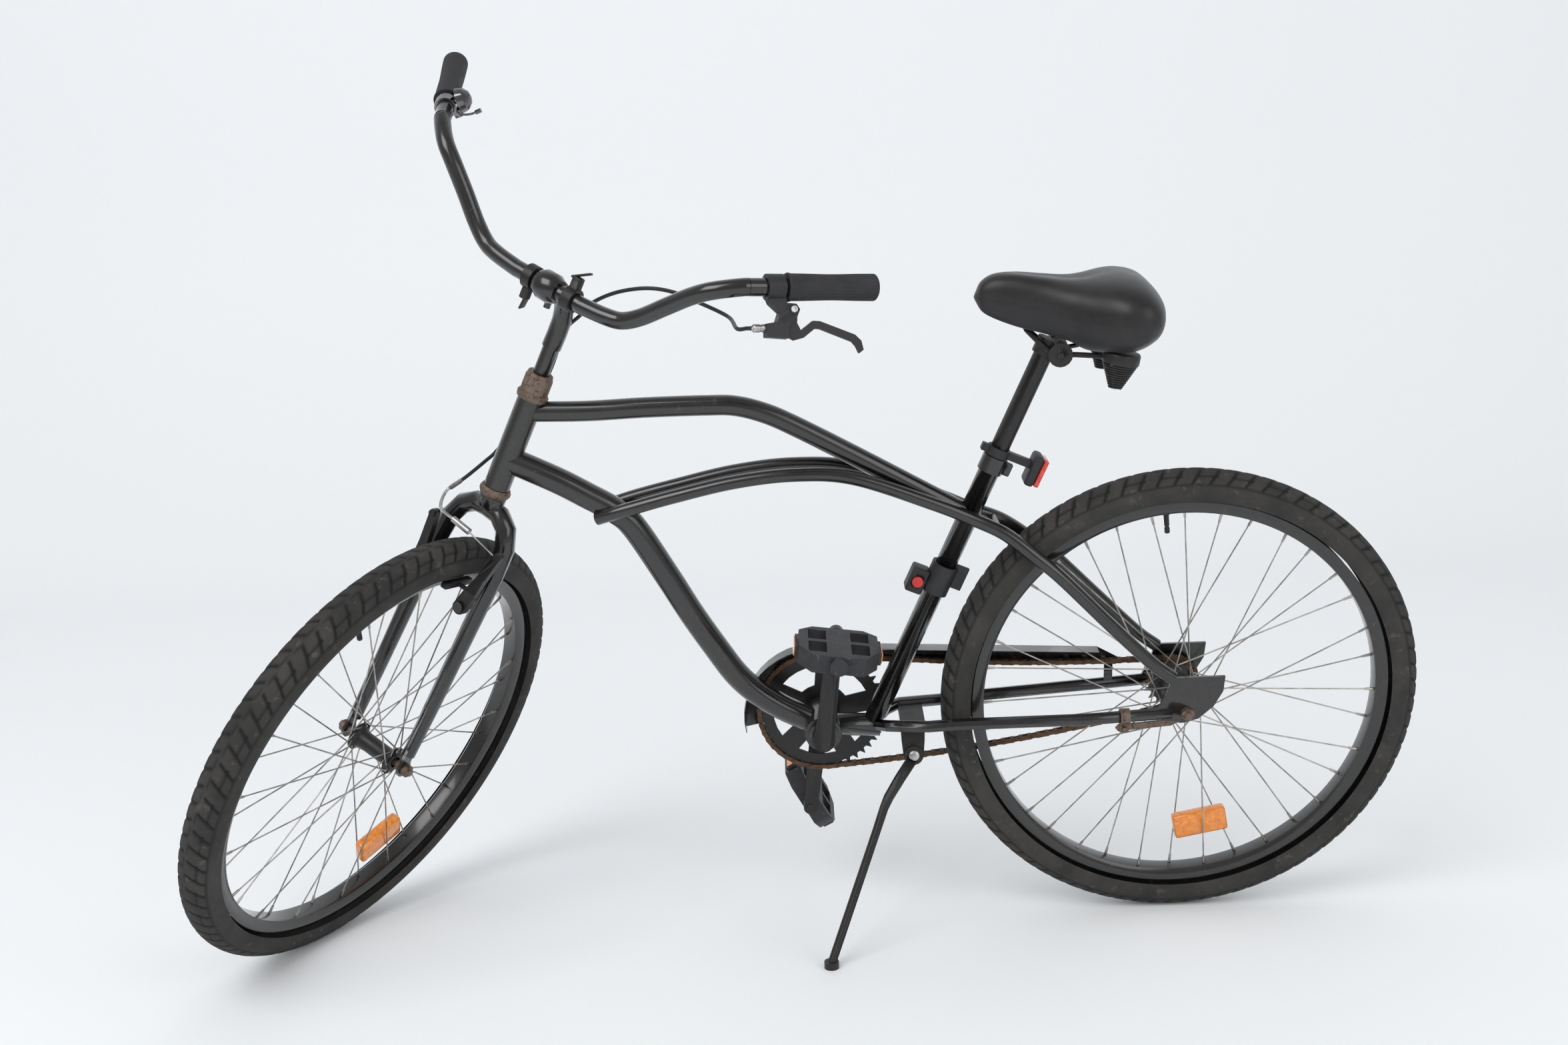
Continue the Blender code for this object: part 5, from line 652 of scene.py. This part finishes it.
class BICYCLE_OT_frame_tubes(Operator):
    """The curved top tube, down tube and upper stays as smooth swept tubes"""

    bl_idname = "bicycle.frame_tubes"
    bl_label = "Frame tubes"

    def execute(self, context):
        paint = FINISHES["black_paint"]
        side = [0.0, 1.0, 0.0]
        top = [head_point(0.486), (-0.793, 0.0, 0.4385), (-0.715, 0.0, 0.4405), (-0.637, 0.0, 0.4405),
               (-0.598, 0.0, 0.4385), (-0.560, 0.0, 0.4275), (-0.521, 0.0, 0.4085),
               (-0.444, 0.0, 0.3650), (-0.338, 0.0, 0.3030), (-0.296, 0.0, 0.2785)]
        down = [head_point(0.4155), (-0.840, 0.0, 0.3455), (-0.802, 0.0, 0.323), (-0.764, 0.0, 0.299),
                (-0.740, 0.0, 0.2745), (-0.700, 0.0, 0.204), (-0.669, 0.0, 0.146), (-0.638, 0.0, 0.094),
                (-0.613, 0.0, 0.055), (-0.588, 0.0, 0.028), (-0.553, 0.0, 0.002), (-0.516, 0.0, -0.018)]
        for name, points, radius in (("top_tube", top, TOP_TUBE_RADIUS),
                                     ("down_tube", down, DOWN_TUBE_RADIUS)):
            grid = placed(swept(smooth_path(points, 12), radius, side, 36), FRAME_AXES)
            piece(name + "_swept", "frame", [sheet_of(grid, False, True, True)], [paint], (name,),
                  50.0)
        beside = SEAT_TUBE_RADIUS + STAY_RADIUS + GAP
        stay = np.array([(-0.787, 0.0150, 0.294), (-0.755, beside, 0.3055), (-0.682, beside, 0.3240),
                         (-0.602, beside, 0.3410), (-0.523, beside, 0.3480), (-0.445, beside, 0.3405),
                         (-0.340, beside, 0.301), (-0.285, beside, 0.276), (-0.245, 0.0320, 0.257),
                         (-0.207, 0.0430, 0.228), (-0.172, 0.0490, 0.198), (-0.107, 0.0540, 0.131),
                         (-0.050, REAR_SPACING, 0.074), (-0.020, REAR_SPACING, 0.0502)])
        for label, sign in (("left", -1.0), ("right", 1.0)):
            grid = placed(swept(smooth_path(stay * [1.0, sign, 1.0], 10), STAY_RADIUS, side, 28),
                          FRAME_AXES)
            node = "upper_stay_" + label
            piece(node + "_swept", "frame", [sheet_of(grid, False, True, True)], [paint], (node,),
                  50.0)
        return {"FINISHED"}


class BICYCLE_OT_handlebar(Operator):
    """The swept bar, bent from one tube"""

    bl_idname = "bicycle.handlebar"
    bl_label = "Handlebar"

    def execute(self, context):
        end = unit(BAR_END_AXIS)
        right = [(-0.058, 0.0, 0.666), (-0.058, 0.046, 0.666), (-0.058, 0.056, 0.666),
                 (-0.057, 0.090, 0.669), (-0.0545, 0.112, 0.674), (-0.0555, 0.135, 0.690),
                 (-0.060, 0.165, 0.7195), (-0.065, 0.193, 0.7465), (-0.064, 0.216, 0.765)]
        right = np.vstack([right] + [BAR_TIP - end * d for d in (0.166, 0.145, 0.0)])
        points = np.vstack([right[:0:-1] * [1.0, -1.0, 1.0], right])
        grid = placed(swept(smooth_path(points, 10), BAR_RADIUS, [0.3, 0.0, -1.0], 32), STEERING_AXES)
        piece("handlebar_swept", "fork", [sheet_of(grid, False, True, True)], [FINISHES["black_paint"]],
              ("handlebar",), 50.0)
        return {"FINISHED"}


class BICYCLE_OT_grips(Operator):
    """Rubber grips with long flutes, end bands and an oval thumb relief"""

    bl_idname = "bicycle.grips"
    bl_label = "Grips"

    def execute(self, context):
        settings = context.scene.bicycle
        for label, side in (("left", -1.0), ("right", 1.0)):
            mirror = np.array([1.0, side, 1.0])
            out = unit(BAR_END_AXIS) * mirror
            across = unit(np.cross([0.0, 0.0, 1.0], out))
            local = axes(BAR_TIP * mirror, across, np.cross(out, across))
            # Radius: the body's, less flutes cos(24 a) inside the bands, a soft thumb flat and round ends
            s = np.concatenate([np.linspace(-GRIP_LENGTH, -0.100, 10), np.linspace(-0.0985, -0.010, 90),
                                np.linspace(-0.0085, 0.0045, 10)])[:, None]
            a = np.linspace(0, 2 * math.pi, 144, endpoint=False)[None, :]
            body = (1 / (1 + np.exp(-(s + 0.098) / 0.0006))) * (1 / (1 + np.exp((s + 0.012) / 0.0006)))
            flutes = settings.rib_depth * body * (0.5 + 0.5 * np.cos(24 * a))
            thumb = np.mod(a + 0.6, 2 * math.pi) - math.pi
            oval = np.clip(1 - ((s + 0.066) / 0.026) ** 2 - (thumb / 0.62) ** 2, 0, 1)
            waist = 0.0009 * np.exp(-(((s + 0.055) / 0.030) ** 2))
            ends = 0.0030 * np.clip((s - 0.0010) / 0.0035, 0, 1) ** 2
            lip = 0.0010 * np.exp(-(((s + GRIP_LENGTH - 0.002) / 0.002) ** 2))
            r = GRIP_RADIUS - 0.0003 - flutes * (oval < 0.02) - 0.0010 * np.sqrt(oval) - waist - ends + lip
            skin = np.stack([r * np.cos(a), r * np.sin(a), s + 0 * a], axis=-1)
            grid = placed(placed(skin, local), STEERING_AXES)
            piece("grip_%s_rubber" % label, "fork", [sheet_of(grid, False, True, True)],
                  [FINISHES["grip_rubber"]], ("grip_" + label,), 60.0)
        return {"FINISHED"}


def saddle_sections():
    """Sections of the saddle along the frame: place, half width, top and underside, on smooth curves."""
    # The underside rests on the springs' tilted cups
    rise, edge = SPRING_HEIGHT * math.cos(SPRING_TILT), SPRING_TOP_RADIUS * math.sin(SPRING_TILT)
    base = SPRING_FOOT + rise + edge + GAP
    rows = [(-0.1065, 0.0080, 0.0810, 0.0680), (-0.0990, 0.0170, 0.0945, 0.0570),
            (-0.0820, 0.0240, 0.1035, 0.0480), (-0.0540, 0.0310, 0.1055, 0.0380),
            (-0.0220, 0.0400, 0.1015, 0.0300), (0.0080, 0.0550, 0.0975, 0.0220),
            (0.0300, 0.0720, 0.0975, base), (0.0620, 0.0940, 0.1015, base),
            (0.0840, 0.1010, 0.1010, base + 0.001), (0.1040, 0.0980, 0.0950, base + 0.008),
            (0.1190, 0.0840, 0.0820, base + 0.018), (0.1270, 0.0530, 0.0690, base + 0.034)]
    front = (-0.1090, 0.0005, 0.0750, 0.0735)
    back = (0.1290, 0.0008, 0.0620, 0.0600)
    table = np.array([front] + rows + [back])
    path = smooth_path(table[:, :3], 6)
    lows = smooth_path(np.stack([table[:, 0], table[:, 3], 0 * table[:, 0]], axis=1), 6)[:, 1]
    return path[:, 0], np.maximum(path[:, 1], 0.0004), path[:, 2], lows


class BICYCLE_OT_saddle(Operator):
    """The vinyl saddle: a crowned form with a piped edge and a pressed channel down its nose"""

    bl_idname = "bicycle.saddle"
    bl_label = "Saddle"

    def execute(self, context):
        x, half, top, low = (v[:, None] for v in saddle_sections())
        a = np.linspace(0, 2 * math.pi, 96, endpoint=False)[None, :]
        across, rise = np.cos(a), np.sin(a)
        # Section: superellipse with powers 0.8 across and 0.7 up, flat below like the pressed shell
        y = half * np.sign(across) * np.abs(across) ** 0.8
        up = np.where(rise > 0, np.abs(rise) ** 0.7, np.maximum(-1.0, 1.42 * rise))
        middle = low + (top - low) * 0.35
        z = middle + np.where(up > 0, up * (top - middle), up * (middle - low))
        crest = np.clip(rise, 0, 1)
        # The pressed channel fades out at both ends of the saddle
        nose, tail = np.clip((x + 0.085) / 0.04, 0, 1), np.clip((0.075 - x) / 0.04, 0, 1)
        z = z - 0.0022 * crest * np.exp(-((y / 0.013) ** 2)) * nose * tail
        # Piping: a round bead where the cover meets the shell, at the widest line
        bead = 0.0012 * np.exp(-(((up + 0.02) / 0.045) ** 2))
        y = y + np.sign(across) * bead * (half > 0.004) - np.sign(across) * 0.0007
        grid = placed(np.stack([x + 0 * a, y, z], axis=-1), SADDLE_AXES)
        cover = piece("saddle_cover", "saddle", [sheet_of(grid, False, True, True)],
                      [FINISHES["saddle_vinyl"]], ("saddle",), 60.0)
        return {"FINISHED"}


class BICYCLE_OT_springs(Operator):
    """Both saddle springs: a close conical coil of wire under its pressed cup"""

    bl_idname = "bicycle.springs"
    bl_label = "Saddle springs"

    def execute(self, context):
        turns = context.scene.bicycle.coil_turns
        turn = axes([0.0, 0.0, 0.0], [math.cos(SPRING_TILT), 0.0, -math.sin(SPRING_TILT)],
                    [0.0, 1.0, 0.0])
        wire, coil_top, coil_height = 0.0015, 0.0228, 0.034
        t = np.linspace(0, 1, turns * 36 + 1)
        angle = 2 * math.pi * turns * t
        r = (SPRING_TIP_RADIUS - wire) + (coil_top - SPRING_TIP_RADIUS) * t
        coil = np.stack([r * np.cos(angle), r * np.sin(angle), wire + (coil_height - wire) * t], axis=1)
        cup = [(0.0, SPRING_HEIGHT), (0.0200, SPRING_HEIGHT), (0.0232, 0.0492), (0.0243, 0.0470),
               (0.0243, 0.0365), (0.0235, 0.0352), (0.0205, 0.0352), (0.0205, 0.0460), (0.0, 0.0465)]
        for label, side in (("left", -1.0), ("right", 1.0)):
            place = shifted(SADDLE_AXES, [SPRING_X, side * SPRING_HALF_SPACING, SPRING_FOOT])
            coils = sheet_of(placed(placed(swept(coil, wire, [0.0, 0.0, 1.0], 10), turn), place), False,
                             True, True)
            cups = sheet_of(placed(placed(turned(cup, 48), turn), place), True, False)
            node = "saddle_spring_" + label
            piece(node + "_coil", "saddle", [coils, cups], [FINISHES["satin_black"]], (node,),
                  40.0)
        return {"FINISHED"}


def chain_route():
    """Pitch line of the chain: an arc about the ring, a sagging run, an arc about the sprocket and back.
    The sag is a parabola, 4 t (1 - t) of its depth."""
    ring, rear = np.array([-0.4950, -0.0270]), np.zeros(2)
    big = CHAIN_PITCH / (2 * math.sin(math.pi / RING_TEETH))
    small = CHAIN_PITCH / (2 * math.sin(math.pi / SPROCKET_TEETH))
    base = math.atan2(*(rear - ring)[::-1])
    lean = math.asin((big - small) / np.linalg.norm(rear - ring))
    top, low = base + math.pi / 2 - lean, base - math.pi / 2 + lean

    def about(centre, radius, start, end, count):
        angles = np.linspace(start, end, count)
        return centre + radius * np.stack([np.cos(angles), np.sin(angles)], axis=1)

    def run(start, end):
        t = np.linspace(0, 1, 60)[1:-1, None]
        return start + (end - start) * t - np.array([0.0, 0.0110]) * 4 * t * (1 - t)

    around_ring = about(ring, big, top, low + 2 * math.pi, 240)
    around_rear = about(rear, small, low, top, 90)
    return np.vstack([around_ring, run(around_ring[-1], around_rear[0]), around_rear,
                      run(around_rear[-1], around_ring[0])])


class BICYCLE_OT_chain(Operator):
    """The roller chain: inner and outer links of two waisted plates, with their rollers and pins"""

    bl_idname = "bicycle.chain"
    bl_label = "Chain"

    def execute(self, context):
        line = chain_route()
        closed = np.vstack([line, line[:1]])
        length = np.concatenate([[0.0], np.cumsum(np.linalg.norm(np.diff(closed, axis=0), axis=1))])
        count = int(round(length[-1] / CHAIN_PITCH / 2)) * 2
        s = np.linspace(0, length[-1], count, endpoint=False)
        pins = np.stack([np.interp(s, length, closed[:, k]) for k in (0, 1)], axis=1)
        ahead = np.roll(pins, -1, axis=0) - pins
        reach = np.linalg.norm(ahead, axis=1)
        # Plate outline: two round ends of 4 mm about the pins, pulled in to 3 mm at the waist
        a = np.radians(np.array([60, 0, -60]))
        end = np.stack([0.0040 * np.cos(a), 0.0040 * np.sin(a)], axis=1)
        outline = np.vstack([end + [1.0, 0.0], [[0.5, -0.0030]], -end + [0.0, 0.0], [[0.5, 0.0030]]])
        shares = np.array([1, 1, 1, 0.5, 0, 0, 0, 0.5])
        offset = outline - np.stack([shares, 0 * shares], axis=1)
        along = ahead / reach[:, None]
        normal = np.stack([-along[:, 1], along[:, 0]], axis=1)
        flat = (pins[:, None, :] + shares[None, :, None] * ahead[:, None, :]
                + offset[None, :, 0:1] * along[:, None, :] + offset[None, :, 1:2] * normal[:, None, :])
        outer = (np.arange(count) % 2 == 1)[:, None]
        plates = []
        for side in (-1.0, 1.0):
            near = CHAIN_LINE + side * np.where(outer, 0.0031, 0.0019)
            far = near + side * 0.0011
            plates.append([np.stack([flat[..., 0], y + 0 * flat[..., 0], flat[..., 1]],
                                    axis=-1) for y in (near, far)])
        sheets = []
        for first, second in plates:
            both = np.stack([first, second], axis=1)
            n = both.shape[2]
            index = np.arange(count * 2 * n).reshape(count, 2, n)
            after = np.roll(index, -1, axis=2)
            quads = np.stack([index[:, 0], after[:, 0], after[:, 1], index[:, 1]],
                             axis=-1).reshape(-1, 4)
            points = placed(both.reshape(-1, 3), FRAME_AXES)
            sheets.append((points, quads, np.zeros((len(quads) * 4, 2)),
                           list(index[:, 0]) + list(index[:, 1])))
        ends = [np.stack([pins[:, 0], np.full(count, CHAIN_LINE + y), pins[:, 1]],
                         axis=1) for y in (-0.0018, 0.0018, -0.0048, 0.0048)]
        ends = [placed(e, FRAME_AXES) for e in ends]
        sheets.append(rods(ends[0], ends[1], 0.0038, 0.0038, 10))
        sheets.append(rods(ends[2], ends[3], 0.0017, 0.0017, 8))
        piece("chain_links", "frame", sheets, [FINISHES["chain_steel"]], ("chain",),
              35.0)
        return {"FINISHED"}


class BICYCLE_OT_brake_cable(Operator):
    """The brake's housing in its long loop from the lever to the front brake"""

    bl_idname = "bicycle.brake_cable"
    bl_label = "Brake cable"

    def execute(self, context):
        path = smooth_path(CABLE_ROUTE, 12)
        reference = [0.35, -0.25, 0.9]
        # The housing, then a bright ferrule over each of its ends
        runs = [(path, CABLE_RADIUS), (path[:5], 0.0031), (path[-9:], 0.0032)]
        grids = [swept(line, radius, reference, 16) for line, radius in runs]
        sheets = [sheet_of(placed(grid, STEERING_AXES), False, True, True) for grid in grids]
        piece("brake_cable_housing", "fork", sheets,
              [FINISHES["black_plastic"], FINISHES["bright_metal"]], ("brake_cable",),
              50.0, [0, 1, 1])
        return {"FINISHED"}


def box_sheet(centre, size, matrix):
    """Block with its edges cut at 45 degrees: a rounded outline, narrower by the cut at both faces."""
    half, cut = np.asarray(size) / 2, min(size) * 0.18
    rings = []
    for depth, inset in ((-half[0], cut), (cut - half[0], 0.0), (half[0] - cut, 0.0), (half[0], cut)):
        y, z = half[1] - inset, half[2] - inset
        ring = [(y, z - cut), (y - cut, z), (cut - y, z), (-y, z - cut), (-y, cut - z), (cut - y, -z),
                (y - cut, -z), (y, cut - z)]
        rings.append([(depth, a, b) for a, b in ring])
    return sheet_of(placed(np.array(rings) + np.asarray(centre), matrix), False, True, True)


def turned_on(profile, steps, centre, axis, matrix):
    """A turned profile stood on a point of a matrix's axes, its height along an axis of them."""
    axis = unit(axis)
    hint = np.array([1.0, 0.0, 0.0]) if abs(axis[0]) < 0.8 else np.array([0.0, 1.0, 0.0])
    x = unit(np.cross(hint, axis))
    return sheet_of(placed(placed(turned(profile, steps), axes(centre, x, np.cross(axis, x))), matrix),
                    True, False)


class BICYCLE_OT_small_metal(Operator):
    """Bright screws, the cable's barrel adjuster, the stand's rivet and the pedals' reflectors"""

    bl_idname = "bicycle.small_metal"
    bl_label = "Small metal and reflectors"

    def execute(self, context):
        # Brake lever's axes within the steering axes: X to the grip's end, Y down to the blade
        lever = np.array([(0.73187, -0.07757, 0.67702, -0.01895),
                          (-0.61189, -0.51210, 0.60278, -0.26729),
                          (0.29994, -0.85541, -0.42226, 0.79491), (0.0, 0.0, 0.0, 1.0)])
        lever = STEERING_AXES @ lever
        bright = FINISHES["bright_metal"]
        knurl = [(0.0, -0.0004), (0.0042, -0.0004), (0.0050, 0.0006), (0.0050, 0.0080),
                 (0.0045, 0.0086), (0.0045, 0.0110), (0.0050, 0.0116), (0.0050, 0.0150),
                 (0.0045, 0.0160), (0.0044, 0.0190)]
        barrel = turned_on(knurl, 24, [-0.029, 0.049, 0.0], [1.0, 0.0, 0.0], lever)
        screw = [(0.0, 0.0016), (0.0022, 0.0016), (0.0024, 0.0030), (0.0038, 0.0030), (0.0044, 0.0022),
                 (0.0044, 0.0), (0.0, 0.0)]
        screws = [turned_on(screw, 20, [0.021, 0.027, side * 0.0078], [0.0, 0.0, side],
                            lever) for side in (-1.0, 1.0)]
        piece("lever_screws", "fork", [barrel] + screws, [bright], (), 30.0)
        rivet = [(0.0, 0.0020), (0.0035, 0.0018), (0.0058, 0.0012), (0.0072, 0.0002), (0.0072, -0.0008),
                 (0.0, -0.0008)]
        axis = unit([0.0, -0.937, 0.350])
        stand = turned_on(rivet, 24, np.array([-0.3710, -0.0385, -0.0610]) + axis * 0.0100, axis,
                          FRAME_AXES)
        piece("stand_rivet", "frame", [stand], [bright], (), 40.0)
        for label, turn in (("left", -8.0), ("right", -62.0)):
            joint = JOINTS["pedal_spin_" + label]
            out = RIGHT if label == "right" else -RIGHT
            up = np.cross(RIGHT, REAR) * -1.0
            along = math.cos(math.radians(turn)) * REAR + math.sin(math.radians(turn)) * up
            base = axes(joint["pos_m"], along, np.cross(out, along))
            plates = [box_sheet([side * 0.0574, 0.0, 0.042], (0.0016, 0.0125, 0.0370),
                                base) for side in (-1.0, 1.0)]
            piece("pedal_reflectors_" + label, "pedal_" + label, plates, [FINISHES["amber_reflector"]],
                  (), 30.0)
        return {"FINISHED"}


class BICYCLE_OT_fittings(Operator):
    """Every other part: its solid's own shape, welded and shaded smooth, in its real finish"""

    bl_idname = "bicycle.fittings"
    bl_label = "Fittings"

    def execute(self, context):
        slots = {item["node"]: item["material_slot"] for item in frame["record"]["subparts"]}
        for body, nodes in frame["record"]["behaviour"]["bodies"].items():
            for node in nodes:
                if not frame["nodes"][node].hide_render:
                    refined(node, body, FINISHES[slots[node]])
        return {"FINISHED"}


STEPS = (
    "stage", "tyres", "rims", "hubs", "frame_tubes", "handlebar", "grips", "saddle", "springs", "chain",
    "brake_cable", "small_metal", "fittings",
)


class BICYCLE_PT_panel(Panel):
    """Sidebar panel that lists the pieces and the settings"""

    bl_idname = "BICYCLE_PT_panel"
    bl_label = "Cruiser bicycle"
    bl_space_type = "VIEW_3D"
    bl_region_type = "UI"
    bl_category = "Bicycle"

    def draw(self, context):
        for name in BicycleSettings.__annotations__:
            self.layout.prop(context.scene.bicycle, name)
        for step in STEPS:
            self.layout.operator("bicycle." + step)


CLASSES = (
    BicycleSettings, BICYCLE_OT_stage, BICYCLE_OT_tyres, BICYCLE_OT_rims, BICYCLE_OT_hubs,
    BICYCLE_OT_frame_tubes, BICYCLE_OT_handlebar, BICYCLE_OT_grips, BICYCLE_OT_saddle,
    BICYCLE_OT_springs, BICYCLE_OT_chain, BICYCLE_OT_brake_cable, BICYCLE_OT_small_metal,
    BICYCLE_OT_fittings, BICYCLE_PT_panel,
)


def register():
    """Register the classes and hang the settings on the scene."""
    for item in CLASSES:
        bpy.utils.register_class(item)
    bpy.types.Scene.bicycle = PointerProperty(type=BicycleSettings)


def unregister():
    """Take the settings and classes away again."""
    del bpy.types.Scene.bicycle
    for item in reversed(CLASSES):
        bpy.utils.unregister_class(item)


def main():
    """Register the add-on, make the finishes and build every piece in order."""
    register()
    FINISHES.update(finishes(bpy.context.scene.bicycle))
    for step in STEPS:
        getattr(bpy.ops.bicycle, step)()


if __name__ == "__main__":
    main()
